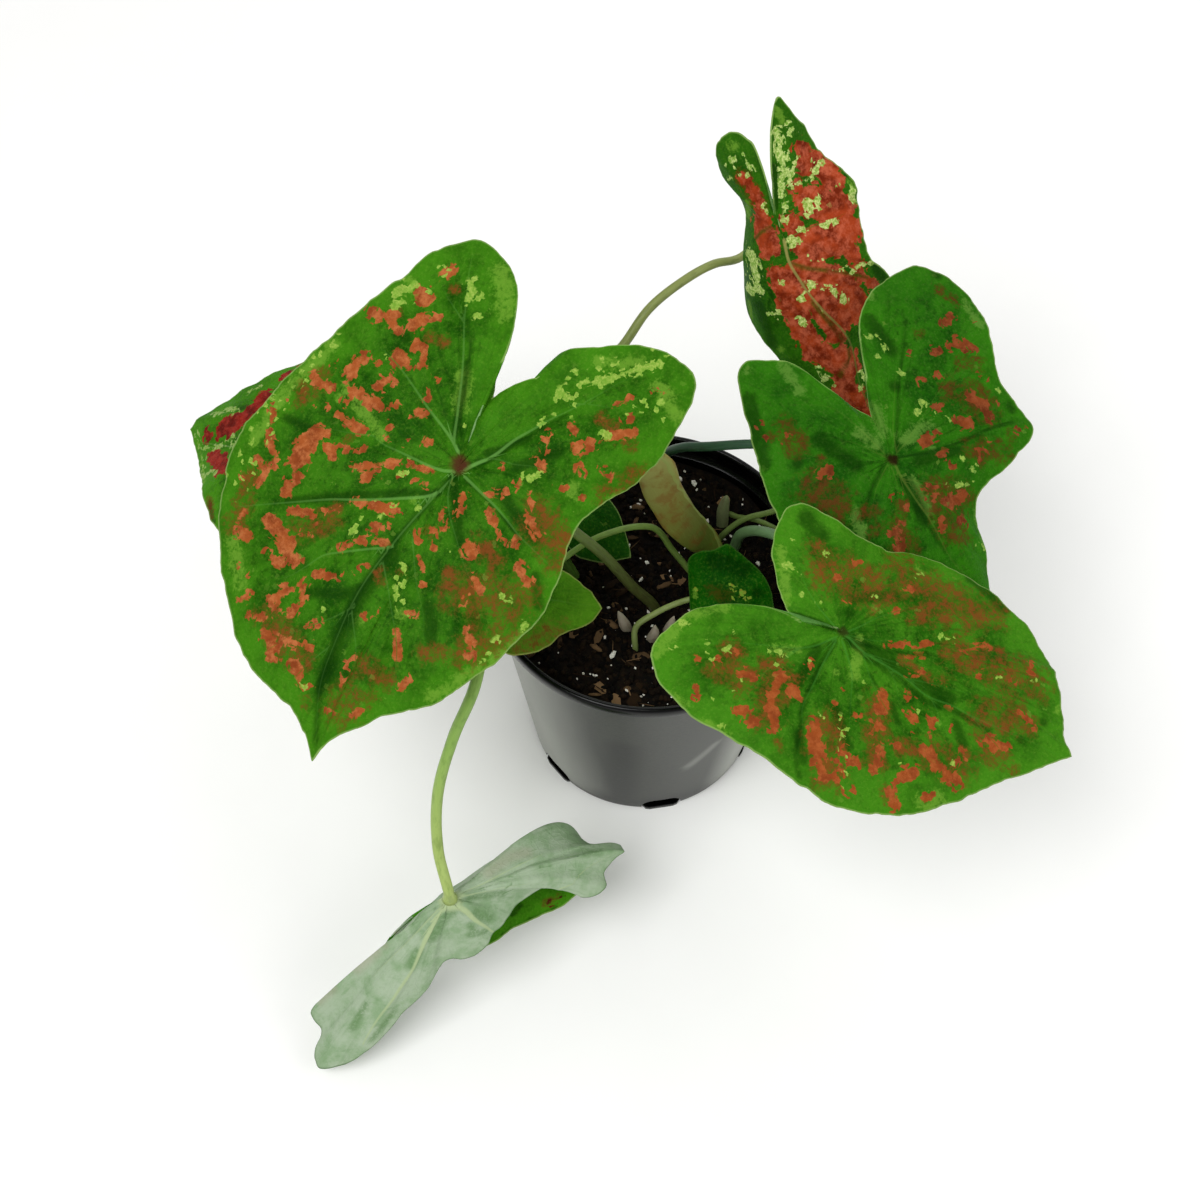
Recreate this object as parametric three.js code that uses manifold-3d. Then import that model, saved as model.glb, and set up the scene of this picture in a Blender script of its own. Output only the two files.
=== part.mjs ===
// A potted caladium: a round nursery pot filled with peat mix, a tuber in the mix, and the leaves, petioles
// and sprouts that grow up from the tuber. Millimetres, +Z up. The origin is the centre of the pot's
// underside, +X points to the plant's right and +Y to its back.
import * as THREE from "three";
import { mergeVertices } from "three/addons/utils/BufferGeometryUtils.js";
import Module from "manifold-3d";

const wasm = await Module();
wasm.setup();

// Air left between pieces that touch.
const GAP = 0.3;

// Pot
const POT_HEIGHT = 100;
const POT_RIM_RADIUS = 53;
const POT_NECK_RADIUS = 50.6;
const POT_HEEL_RADIUS = 39.8;
const POT_FOOT_RADIUS = 37.6;
const POT_WALL = 1.5;
const POT_FLOOR = 2.2;
const LIP_HEIGHT = 4.2;
const LIP_LEDGE = 2.4;
const LIP_INNER_FOOT = 93.5;
const POT_SIDES = 48;
const DRAIN_COUNT = 6;
const DRAIN_WIDTH = 14;
const DRAIN_TOP = 6;
const DRAIN_FIRST_DEG = -78;
const DRAIN_PAD_RADIUS = 40.6;

// Peat mix
const SOIL_LEVEL = 88;
const SOIL_BUMP = 1.6;
const SOIL_BANK = 4;
const SOIL_BANK_START = 16;
const SOIL_RINGS = 8;
const SOIL_SIDES = 32;
const PERLITE_COUNT = 30;
const BARK_COUNT = 16;
const CRUMB_FREE_RADIUS = 43;

// Tuber
const TUBER_CENTRE = [1, 1, 50];
const TUBER_HALF = [33, 30, 15];
const TUBER_LUMP = 0.05;
const TUBER_DETAIL = 3;

// Stems
const STEM_SIDES = 8;
const STEM_ROOT_Z = 52;
const STEM_ROOT_PULL = 0.72;
const STEM_STEP = 8;
const SPROUT_STEP = 5;
const FLESH_TAPER = 0.8;
const SHOOT_FACING = [0, -0.5, 0.85];

// Blades
const BLADE_THICKNESS = 0.8;
const RING_SPACING = 13;
const FEWEST_RINGS = 3;
const MOST_RINGS = 6;
const RAY_SPACING = 8;
const RIB_RAISE = 0.8;
const RIB_GROOVE = 0.2;
const PETIOLE_REACH = BLADE_THICKNESS / 2 + RIB_RAISE + GAP;

// Every blade is a fan of rays from its hub, where the petiole meets its underside. In the blade's own
// frame x runs from the hub along the midrib, y to the blade's left and z out of its upper side.
//   hub      the hub, in the part's frame
//   turn     heading, pitch and roll of the blade's frame, in degrees
//   rim      margin points from the tip round the left side to the sinus and back round the right side
//   sinus    index of the rim point at the bottom of the cut between the two basal lobes
//   ribs     rim points that the main ribs run to
//   bow      how far the blade rises between hub and margin
//   fold     where each ray heads on leaving the hub, for a blade that hangs folded
//   stem     points of the petiole from where it leaves the soil, in the part's frame
//   radius   radius of the petiole at the soil and at the hub
const LEAVES = {
  left_front: {
    hub: [-54, -19, 180],
    turn: [-116, -25, -5],
    bow: 3,
    wave: [1.2, 11, 0.4],
    sinus: 16,
    ribs: [0, 4, 6, 10, 21, 25, 26, 27, 29],
    rim: [
      [93, -2, -6], [85, 1, -4], [73, 11, -3], [63, 23, -4], [47, 32, -5], [31, 38, -4], [16, 39, -5],
      [1, 37, -4], [-19, 47, -6], [-37, 51, -6], [-51, 48, -7], [-54, 36, -5], [-47, 21, -2], [-40, 11, -2],
      [-34, 12, -1], [-29, 6, 0], [-21, 0, 0], [-27, -2, 0], [-33, -2, -1], [-48, -6, -2], [-58, -14, -5],
      [-61, -25, -7], [-53, -37, -5], [-42, -41, -3], [-37, -43, -2], [-21, -50, -1], [2, -59, -2],
      [23, -63, -4], [47, -57, -6], [65, -44, -6], [78, -28, -5], [84, -11, -4],
    ],
    stem: [[3, -9, 88], [-5, -9, 102], [-14, -8, 118], [-23, -8, 131], [-35, -8, 148], [-47, -11, 163]],
    radius: [1.9, 1.5],
  },
  right_front: {
    hub: [57, -46, 142],
    turn: [-26, -12, -2],
    bow: 2,
    wave: [1, 9, 1.9],
    sinus: 15,
    ribs: [0, 4, 6, 11, 18, 20, 22, 24],
    rim: [
      [76, 7, -7], [72, 11, -5], [68, 18, -5], [63, 24, -4], [59, 30, -4], [47, 37, -3], [31, 40, -3],
      [11, 39, -2], [-2, 33, 0], [-16, 31, 1], [-27, 31, 2], [-32, 28, 2], [-30, 12, 0], [-24, 4, 0],
      [-18, -2, 0], [-12, -5, 0], [-23, -6, 0], [-33, -12, 1], [-41, -21, 0], [-44, -38, -3],
      [-28, -45, -5], [-10, -46, -5], [4, -46, -6], [20, -46, -7], [35, -41, -7], [48, -31, -7],
      [59, -14, -6], [69, -2, -5],
    ],
    stem: [[28, 15, 88], [30, 12, 103], [35, 8, 111], [43, 0, 118], [51, -16, 123], [55, -33, 126]],
    radius: [1.9, 1.5],
  },
  right_back: {
    hub: [72, 10, 150],
    turn: [-59, -11, -2],
    bow: 2,
    wave: [1, 8, 0.7],
    sinus: 12,
    ribs: [0, 2, 4, 8, 14, 16, 18],
    rim: [
      [52, 13, -27], [36, 18, -17], [20, 21, -6], [15, 36, -3], [7, 49, -4], [-10, 46, -1],
      [-23, 51, -1], [-37, 55, -2], [-54, 46, -2], [-54, 27, 0], [-45, 15, 1], [-29, 7, 1],
      [-15, 2, 0], [-27, -5, 0], [-43, -13, -1], [-49, -25, -3], [-37, -31, -4], [-16, -36, -6],
      [1, -36, -13], [23, -28, -24], [45, -15, -29],
    ],
    stem: [
      [6, 26, 88], [4, 31, 104], [4, 33, 115], [9, 30, 124], [18, 26, 131], [32, 24, 136],
      [48, 22, 138], [61, 16, 139],
    ],
    radius: [1.7, 1.4],
  },
  back: {
    hub: [37, 85, 166],
    turn: [-49, -42, 38],
    bow: 1,
    wave: [0.8, 9, 1.2],
    sinus: 11,
    ribs: [0, 2, 4, 8, 14, 19, 20],
    rim: [
      [71, 0, -4], [52, 15, -22], [31, 23, -16], [20, 21, -8], [4, 24, -12], [-1, 26, -14], [-14, 21, -12],
      [-28, 19, -6], [-37, 17, -2], [-31, 12, 2], [-18, 6, 3], [-6, 1, 2], [-20, 4, 3], [-29, 4, 0],
      [-34, -1, -5], [-31, -8, -9], [-22, -10, -9], [-11, -8, -10], [6, -17, -14], [22, -23, -14],
      [39, -20, -10], [60, -10, -6],
    ],
    stem: [
      [-15, 26, 88], [-18, 40, 108], [-16, 57, 129], [-10, 63, 136], [-3, 71, 143], [8, 80, 147],
      [17, 87, 147], [26, 93, 144], [34, 98, 151],
    ],
    radius: [1.8, 1.3],
  },
  left_back: {
    hub: [-99, 31, 128],
    turn: [163, -27, -5],
    bow: 2,
    wave: [1, 8, 2.6],
    sinus: 7,
    ribs: [0, 2, 5, 9, 12],
    rim: [
      [75, -4, -6], [62, 13, -6], [43, 35, -6], [20, 51, -7], [-13, 58, -6], [-39, 47, -4], [-40, 24, -1],
      [-15, 3, 0], [-29, -10, -1], [-11, -33, -4], [9, -36, -5], [30, -31, -3], [48, -20, -2], [66, -11, -3],
    ],
    stem: [[-26, 14, 88], [-37, 14, 106], [-55, 18, 118], [-74, 24, 120], [-87, 29, 116]],
    radius: [1.6, 1.3],
  },
  drooping: {
    hub: [-57.5, -102, 62],
    turn: [19.5, 0, 180],
    bow: 0,
    wave: [0, 1, 0],
    sinus: 29,
    ribs: [0, 12, 19, 32, 37],
    rim: [
      [59, -6, 16], [55, -5, 17], [51, -2, 19], [51, 2, 20], [48, 4, 20], [42, 4, 19], [37, 0, 16],
      [33, -1, 15], [28, -1, 15], [20, 2, 16], [15, 6, 16], [11, 8, 17], [8, 11, 20], [2, 12, 22],
      [-6, 11, 23], [-9, 12, 26], [-15, 16, 31], [-22, 18, 36], [-29, 21, 43], [-40, 24, 50],
      [-48, 24, 54], [-54, 22, 55], [-54, 17, 54], [-50, 12, 51], [-52, 6, 48], [-46, 4, 42],
      [-35, 2, 32], [-21, 1, 20], [-10, -2, 10], [-4, -1, 4], [-13, -4, 20], [-24, -3, 34],
      [-32, 1, 46], [-24, 3, 50], [-10, -3, 46], [9, 4, 38], [19, 1, 37], [28, 0, 36], [36, -1, 35],
      [41, -3, 35], [46, -5, 34], [51, -7, 29], [55, -9, 23], [58, -10, 19],
    ],
    fold: [
      [46, -8, 7], [42, -7, 6], [38, -5, 5], [35, -3, 4], [33, -3, 4], [29, -2, 4], [24, -1, 4],
      [20, 0, 4], [16, 1, 4], [10, 2, 5], [8, 3, 2], [5, 4, 2], [4, 5, 4], [1, 6, 4],
      [-3, 5, 4], [-5, 6, 6], [-7, 8, 9], [-11, 9, 11], [-15, 10, 14], [-20, 12, 18],
      [-24, 12, 20], [-27, 11, 20], [-27, 9, 20], [-25, 6, 18], [-26, 3, 17], [-23, 2, 14],
      [-17, 1, 12], [-11, 0, 6], [-5, -1, 1], [-2, -1, -2], [-6, -3, 3], [-17, -7, 20],
      [-13, -10, 22], [-4, -16, 20], [-2, -18, 22], [13, -24, 22], [22, -27, 20], [35, -31, 17],
      [48, -32, 13], [64, -41, 11], [62, -31, 10], [60, -22, 10], [58, -16, 10], [54, -12, 11],
    ],
    stem: [
      [-24, 2, 88], [-32, 3, 106], [-43, -4, 124], [-47, -24, 136], [-47, -45, 137], [-49, -61, 129],
      [-56, -71, 112], [-61, -81, 93], [-61, -92, 77],
    ],
    radius: [1.9, 1.7],
  },
  small_right: {
    hub: [23, -16, 113],
    turn: [-75, -18, 14],
    bow: 1,
    wave: [0.4, 5, 0],
    sinus: 8,
    ribs: [0, 4, 12],
    rim: [
      [23, 1, -5], [19, 9, -4], [13, 13, -4], [6, 15, -3], [-1, 14, -2], [-7, 11, -2], [-11, 8, -2],
      [-14, 5, -1], [-13, 1, 0], [-14, -4, -1], [-12, -8, -2], [-8, -9, -2], [-2, -10, -3],
      [5, -11, -3], [12, -10, -3], [19, -6, -4],
    ],
    stem: [[-3, -24, 88], [-3, -20, 95], [3, -17, 99], [8, -15, 101], [14, -13, 102]],
    radius: [1.1, 0.9],
  },
  small_left: {
    hub: [-38, -21, 112],
    turn: [-5, 2, 15],
    bow: 1,
    wave: [0.5, 5, 1],
    sinus: 7,
    ribs: [0, 4, 11],
    rim: [
      [24, 0, -4], [21, 4, -3], [17, 7, -2], [12, 10, -2], [5, 12, -1], [-2, 12, -1], [-9, 9, -1],
      [-6, 0, 0], [-14, -4, -1], [-10, -14, -3], [-2, -18, -3], [4, -17, -3], [9, -14, -3],
      [14, -9, -3], [21, -5, -3],
    ],
    stem: [
      [17, 1, 88], [12, 4, 95], [7, 6, 102], [4, 7, 108], [1, 7, 112], [-5, 5, 115], [-12, 2, 116],
      [-20, -2, 115], [-28, -8, 112], [-34, -16, 107],
    ],
    radius: [1.2, 0.9],
  },
  shaded_left: {
    hub: [-19, 13, 110],
    turn: [-45, -10, 14],
    bow: 1,
    wave: [0.4, 5, 2],
    sinus: 5,
    ribs: [0, 2, 8],
    rim: [
      [19, 0, -3], [12, 4, -2], [4, 7, -2], [-5, 7, -2], [-10, 3, -1], [-4, 0, 0], [-9, -3, -1],
      [-4, -9, -2], [5, -13, -2], [14, -8, -3],
    ],
    stem: [[-12, 8, 88], [-15, 11, 98]],
    radius: [1, 0.9],
  },
  shaded_right_back: {
    hub: [58, 21, 124],
    turn: [-20, -14, 13],
    bow: 1,
    wave: [0.5, 5, 1],
    sinus: 5,
    ribs: [0, 2, 8],
    rim: [
      [25, 2, -4], [16, 8, -2], [7, 12, -2], [-3, 11, -1], [-9, 6, -1], [-5, 0, 0], [-11, -4, -1],
      [-5, -10, -2], [6, -13, -3], [16, -7, -3],
    ],
    stem: [[22, 17, 88], [30, 19, 100], [40, 18, 108], [49, 20, 114]],
    radius: [1.1, 0.9],
  },
  shaded_right_front: {
    hub: [52, 2, 112],
    turn: [-37, -13, 8],
    bow: 1,
    wave: [0.4, 5, 0],
    sinus: 5,
    ribs: [0, 2, 8],
    rim: [
      [23, 1, -3], [16, 7, -2], [7, 10, -2], [-2, 8, -1], [-5, 3, -1], [-4, -1, 0], [-5, -4, -1],
      [1, -8, -2], [9, -9, -2], [18, -6, -3],
    ],
    stem: [[25, 29, 88], [29, 25, 93], [35, 20, 99], [41, 15, 102], [47, 9, 104]],
    radius: [1, 0.8],
  },
};

// Shoots with no open blade: points from the soil up, the mean radius at each point, and how much the
// section is widened along its broad side and thinned across it.
const SPROUTS = {
  furled_leaf: {
    path: [
      [22, 8, 88], [19, 10, 98], [14, 9, 107], [9, 9, 115], [6, 10, 121], [3, 12, 127], [1, 15, 132],
      [-3, 18, 138],
    ],
    radius: [2, 2.8, 3.4, 3.6, 3.6, 3.7, 3.8, 2],
    flat: 1.8,
  },
  sprout_back: { path: [[24, 24, 88], [24, 26, 95], [25, 28, 101]], radius: [1.8, 2, 1], flat: 1.1 },
  sprout_front_left: {
    path: [[-6, -17, 88], [-7, -17, 92], [-9, -15, 96]],
    radius: [1.7, 1.7, 0.6],
    flat: 1.1,
  },
  sprout_front: { path: [[2, -20, 88], [3, -20, 92], [3, -19, 95]], radius: [1.5, 1.5, 0.5], flat: 1.1 },
  sprout_front_right: {
    path: [[7, -17, 88], [8, -17, 92], [9, -16, 96]],
    radius: [1.4, 1.4, 0.5],
    flat: 1.1,
  },
};

// Surface colours
const LOOKS = {
  pot: { color: 0x4a4c4a, roughness: 0.45, metalness: 0 },
  soil: { color: 0x241812, roughness: 0.95, metalness: 0 },
  tuber: { color: 0x7a5a3c, roughness: 0.9, metalness: 0 },
  leaf: { color: 0x3f8f2c, roughness: 0.5, metalness: 0 },
  red_leaf: { color: 0xa84430, roughness: 0.5, metalness: 0 },
  pale_leaf: { color: 0x9fbf9a, roughness: 0.6, metalness: 0 },
  petiole: { color: 0x7f9b55, roughness: 0.45, metalness: 0 },
  sprout: { color: 0xb9b39a, roughness: 0.55, metalness: 0 },
};
const LEAF_LOOK = { back: "red_leaf", left_back: "red_leaf", drooping: "pale_leaf" };

// Seeded draws, so that every build scatters the same crumbs.
function seededRandom(seed) {
  let state = seed;
  return () => {
    state = (state * 1664525 + 1013904223) % 4294967296;
    return state / 4294967296;
  };
}

const vector = (point) => new THREE.Vector3(...point);
const radians = THREE.MathUtils.degToRad;

function toManifold(geometry) {
  const bare = geometry.clone();
  for (const name of Object.keys(bare.attributes)) {
    if (name !== "position") bare.deleteAttribute(name);
  }
  const merged = mergeVertices(bare, 1e-4);
  const mesh = new wasm.Mesh({
    numProp: 3,
    vertProperties: new Float32Array(merged.attributes.position.array),
    triVerts: new Uint32Array(merged.index.array),
  });
  return new wasm.Manifold(mesh);
}

function toGeometry(solid) {
  const mesh = solid.getMesh();
  const geometry = new THREE.BufferGeometry();
  geometry.setAttribute("position", new THREE.BufferAttribute(mesh.vertProperties, 3));
  geometry.setIndex(new THREE.BufferAttribute(mesh.triVerts, 1));
  return geometry;
}

function indexed(points, faces) {
  const geometry = new THREE.BufferGeometry();
  geometry.setAttribute("position", new THREE.Float32BufferAttribute(points.flat(), 3));
  geometry.setIndex(faces.flat());
  return geometry;
}

// A body of revolution about Z, from a profile of [radius, z] that runs up the outside from axis to axis.
function turned(profile, sides) {
  const points = profile.map(([radius, z]) => new THREE.Vector2(radius, z));
  return new THREE.LatheGeometry(points, sides).rotateX(Math.PI / 2);
}

// ---------------------------------------------------------------- pot

function wallRadius(z) {
  const lipFoot = POT_HEIGHT - LIP_HEIGHT;
  return THREE.MathUtils.mapLinear(z, 0, lipFoot, POT_HEEL_RADIUS, POT_NECK_RADIUS);
}

function drainNotch() {
  const half = DRAIN_WIDTH / 2;
  const arch = new THREE.Shape();
  arch.moveTo(-half, 0);
  arch.lineTo(half, 0);
  arch.quadraticCurveTo(half * 0.75, DRAIN_TOP - POT_FLOOR, 0, DRAIN_TOP - POT_FLOOR);
  arch.quadraticCurveTo(-half * 0.75, DRAIN_TOP - POT_FLOOR, -half, 0);
  const cut = new THREE.ExtrudeGeometry(arch, { depth: 9, bevelEnabled: false, curveSegments: 4 });
  return cut.rotateX(Math.PI / 2).rotateZ(Math.PI).translate(0, POT_HEEL_RADIUS - 5, POT_FLOOR);
}

function drainPad() {
  const pad = new THREE.CylinderGeometry(DRAIN_PAD_RADIUS, DRAIN_PAD_RADIUS - 0.8, POT_FLOOR - 0.4, 12, 1);
  pad.rotateX(Math.PI / 2).rotateZ(Math.PI / 12).translate(0, 0, (POT_FLOOR - 0.4) / 2);
  const wedge = new THREE.BoxGeometry(DRAIN_WIDTH - 1, 12, POT_FLOOR * 2);
  wedge.translate(0, DRAIN_PAD_RADIUS - 4, POT_FLOOR);
  return toManifold(pad).intersect(toManifold(wedge));
}

function buildPot() {
  const lipFoot = POT_HEIGHT - LIP_HEIGHT;
  const inner = (z) => wallRadius(z) - POT_WALL;
  const profile = [
    [0, 0],
    [POT_FOOT_RADIUS, 0],
    [wallRadius(1.6), 1.6],
    [wallRadius(lipFoot), lipFoot],
    [POT_RIM_RADIUS - 0.5, lipFoot + 0.1],
    [POT_RIM_RADIUS, lipFoot + 0.8],
    [POT_RIM_RADIUS, POT_HEIGHT - 1.4],
    [POT_RIM_RADIUS - 0.5, POT_HEIGHT - 0.4],
    [POT_RIM_RADIUS - 1.4, POT_HEIGHT],
    [POT_RIM_RADIUS - 2.2, POT_HEIGHT - 0.4],
    [POT_RIM_RADIUS - LIP_LEDGE, POT_HEIGHT - 1.6],
    [POT_RIM_RADIUS - LIP_LEDGE - 0.3, LIP_INNER_FOOT + 1],
    [inner(LIP_INNER_FOOT), LIP_INNER_FOOT],
    [inner(POT_FLOOR), POT_FLOOR],
    [0, POT_FLOOR],
  ];
  let pot = toManifold(turned(profile, POT_SIDES));
  const notch = toManifold(drainNotch());
  const pad = drainPad();
  for (let i = 0; i < DRAIN_COUNT; i++) {
    const turn = [0, 0, DRAIN_FIRST_DEG - 90 + (i * 360) / DRAIN_COUNT];
    pot = pot.subtract(notch.rotate(turn)).add(pad.rotate(turn));
  }
  return toGeometry(pot);
}

// ---------------------------------------------------------------- stems

// The axes of a flattened shoot: normals along its broad side, which faces the front and up, and binormals
// across it.
function facedFrames(path, steps) {
  const facing = vector(SHOOT_FACING).normalize();
  const frames = { normals: [], binormals: [] };
  for (let i = 0; i <= steps; i++) {
    const tangent = path.getTangentAt(i / steps);
    const broad = new THREE.Vector3().crossVectors(tangent, facing).normalize();
    frames.normals.push(broad);
    frames.binormals.push(new THREE.Vector3().crossVectors(tangent, broad));
  }
  return frames;
}

// A closed swept tube. Its section at the share u of the length lies square to the path and has the radius
// radiusAt(u), times flat along the normals and divided by flat along the binormals.
function sweptTube(path, radiusAt, steps, frames, flat = 1) {
  const sides = STEM_SIDES;
  const points = [];
  const faces = [];
  for (let i = 0; i <= steps; i++) {
    const centre = path.getPointAt(i / steps);
    const radius = radiusAt(i / steps);
    for (let j = 0; j < sides; j++) {
      const angle = (2 * Math.PI * j) / sides;
      const point = centre
        .clone()
        .addScaledVector(frames.normals[i], Math.cos(angle) * radius * flat)
        .addScaledVector(frames.binormals[i], (Math.sin(angle) * radius) / flat);
      points.push(point.toArray());
    }
  }
  const first = points.push(path.getPointAt(0).toArray()) - 1;
  const last = points.push(path.getPointAt(1).toArray()) - 1;
  for (let j = 0; j < sides; j++) {
    const next = (j + 1) % sides;
    for (let i = 0; i < steps; i++) {
      const a = i * sides;
      const b = a + sides;
      faces.push([a + j, a + next, b + next], [a + j, b + next, b + j]);
    }
    faces.push([first, next, j], [last, steps * sides + j, steps * sides + next]);
  }
  return indexed(points, faces);
}

// Every stem starts inside the tuber, leans in below the soil surface and leaves it where its path begins.
function rootOf([x, y]) {
  return new THREE.Vector3(x * STEM_ROOT_PULL, y * STEM_ROOT_PULL, STEM_ROOT_Z);
}

function curveThrough(points) {
  return new THREE.CatmullRomCurve3(points, false, "centripetal");
}

function stepsFor(path) {
  return Math.max(6, Math.round(path.getLength() / STEM_STEP));
}

function petiolePath(leaf) {
  const { z: out } = bladeAxes(leaf.turn);
  const hub = vector(leaf.hub);
  const end = hub.clone().addScaledVector(out, -PETIOLE_REACH);
  const approach = hub.clone().addScaledVector(out, -PETIOLE_REACH - 5);
  return curveThrough([rootOf(leaf.stem[0]), ...leaf.stem.map(vector), approach, end]);
}

function petioleTube(leaf, swell) {
  const path = petiolePath(leaf);
  const [near, far] = leaf.radius;
  const steps = stepsFor(path);
  const radiusAt = (u) => THREE.MathUtils.lerp(near, far, u) + swell;
  return sweptTube(path, radiusAt, steps, path.computeFrenetFrames(steps, false));
}

function sproutTube(sprout, swell) {
  const path = curveThrough([rootOf(sprout.path[0]), ...sprout.path.map(vector)]);
  const radii = [sprout.radius[0] * FLESH_TAPER, ...sprout.radius];
  const lengths = path.getLengths((radii.length - 1) * 20);
  const shares = radii.map((_, i) => lengths[i * 20] / lengths[lengths.length - 1]);
  const radiusAt = (u) => {
    const next = Math.max(1, shares.findIndex((share) => share >= u - 1e-9));
    const part = (u - shares[next - 1]) / (shares[next] - shares[next - 1]);
    return THREE.MathUtils.lerp(radii[next - 1], radii[next], THREE.MathUtils.clamp(part, 0, 1)) + swell;
  };
  const steps = Math.round(path.getLength() / SPROUT_STEP);
  return sweptTube(path, radiusAt, steps, facedFrames(path, steps), sprout.flat);
}

// ---------------------------------------------------------------- tuber and soil

function tuberSolid(swell) {
  const ball = new THREE.IcosahedronGeometry(1, TUBER_DETAIL);
  const spots = ball.attributes.position;
  for (let i = 0; i < spots.count; i++) {
    const spot = new THREE.Vector3().fromBufferAttribute(spots, i);
    const lump = 1 + TUBER_LUMP * Math.sin(5 * spot.x + 1) * Math.cos(6 * spot.y) * Math.cos(4 * spot.z);
    spot.multiplyScalar(lump);
    spot.multiply(new THREE.Vector3(...TUBER_HALF.map((half) => half + swell)));
    spots.setXYZ(i, ...spot.toArray());
  }
  return toManifold(ball.translate(...TUBER_CENTRE));
}

function soilRadius(z) {
  return wallRadius(z) - POT_WALL - GAP;
}

// The surface is lumpy inside the wall and banks up toward the back of the pot.
function soilSurface(x, y) {
  const edge = soilRadius(SOIL_LEVEL);
  const bank = SOIL_BANK * THREE.MathUtils.smoothstep(y, SOIL_BANK_START, edge);
  const swell = Math.sin(x * 0.21 + 1) * Math.cos(y * 0.17) + 0.6 * Math.sin(x * 0.45 + y * 0.38);
  const inside = Math.hypot(x, y) < edge - 0.5 ? 1 : 0;
  return SOIL_LEVEL + bank + (inside * swell * SOIL_BUMP) / 2;
}

function soilBody() {
  const bottom = POT_FLOOR + GAP;
  const top = soilRadius(SOIL_LEVEL);
  const profile = [[0, bottom], [soilRadius(bottom), bottom]];
  for (let ring = SOIL_RINGS; ring >= 0; ring--) profile.push([(top * ring) / SOIL_RINGS, SOIL_LEVEL]);
  const body = turned(profile, SOIL_SIDES);
  const spots = body.attributes.position;
  for (let i = 0; i < spots.count; i++) {
    const [x, y, z] = [spots.getX(i), spots.getY(i), spots.getZ(i)];
    if (z > SOIL_LEVEL - 1) spots.setZ(i, soilSurface(x, y));
  }
  return toManifold(body);
}

// Perlite grains and bark chips, half sunk in the surface and clear of the stems.
function crumbs(stems) {
  const random = seededRandom(7);
  const placed = [];
  const isFree = (x, y, size) =>
    stems.every(([a, b, radius]) => Math.hypot(x - a, y - b) > radius + size + 2) &&
    placed.every(([a, b, other]) => Math.hypot(x - a, y - b) > other + size);
  const pieces = [];
  while (pieces.length < PERLITE_COUNT + BARK_COUNT) {
    const isBark = pieces.length >= PERLITE_COUNT;
    const reach = CRUMB_FREE_RADIUS * Math.sqrt(random());
    const angle = 2 * Math.PI * random();
    const [x, y] = [reach * Math.cos(angle), reach * Math.sin(angle)];
    const size = isBark ? 2 + 2.5 * random() : 0.7 + 0.9 * random();
    const [tilt, spin] = [0.5 * (random() - 0.5), 2 * Math.PI * random()];
    if (!isFree(x, y, size)) continue;
    placed.push([x, y, size]);
    const piece = isBark
      ? new THREE.BoxGeometry(size * 2, size * 0.9, 1.6)
      : new THREE.OctahedronGeometry(size, 0).scale(1, 0.8, 0.8);
    piece.rotateX(tilt).rotateZ(spin).translate(x, y, soilSurface(x, y) + (isBark ? 0 : size * 0.2));
    pieces.push(toManifold(piece));
  }
  return pieces;
}

function buildSoil(holes, stems) {
  const filled = crumbs(stems).reduce((body, crumb) => body.add(crumb), soilBody());
  const hollow = filled.subtract(tuberSolid(GAP));
  return holes.reduce((body, hole) => body.subtract(hole), hollow);
}

// ---------------------------------------------------------------- blades

function bladeAxes([headingDeg, pitchDeg, rollDeg]) {
  const [heading, pitch, roll] = [headingDeg, pitchDeg, rollDeg].map(radians);
  const x = new THREE.Vector3(
    Math.cos(heading) * Math.cos(pitch),
    Math.sin(heading) * Math.cos(pitch),
    Math.sin(pitch),
  );
  const level = new THREE.Vector3(-Math.sin(heading), Math.cos(heading), 0);
  const y = level.clone().applyAxisAngle(x, roll);
  const z = new THREE.Vector3().crossVectors(x, y);
  return { x, y, z };
}

// The rays of a blade, each with its rim and fold point and whether a rib runs along it. The margin is a
// smooth curve on each side, with corners at the tip and the sinus only.
function bladeRays(leaf) {
  const rim = leaf.rim.map(vector);
  const fold = leaf.rim.map(([x, y], i) => vector(leaf.fold ? leaf.fold[i] : [x / 2, y / 2, leaf.bow]));
  const [height, waves, phase] = leaf.wave;
  const rays = [];
  for (const [from, to] of [[0, leaf.sinus], [leaf.sinus, rim.length]]) {
    const slice = (points) => curveThrough([...points.slice(from, to), points[to % points.length]]);
    const rimCurve = slice(rim);
    const foldCurve = slice(fold);
    for (let i = from; i < to; i++) {
      const chord = rim[i].distanceTo(rim[(i + 1) % rim.length]);
      const parts = Math.max(1, Math.round(chord / RAY_SPACING));
      for (let part = 0; part < parts; part++) {
        const share = (i - from + part / parts) / (to - from);
        const edge = rimCurve.getPoint(share);
        const around = (i + part / parts) / rim.length;
        edge.z += height * Math.sin(2 * Math.PI * waves * around + phase);
        rays.push({ edge, fold: foldCurve.getPoint(share), isRib: part === 0 && leaf.ribs.includes(i) });
      }
    }
  }
  return rays;
}

function rayPoint(ray, t) {
  return ray.fold.clone().multiplyScalar(2 * t * (1 - t)).addScaledVector(ray.edge, t * t);
}

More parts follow.
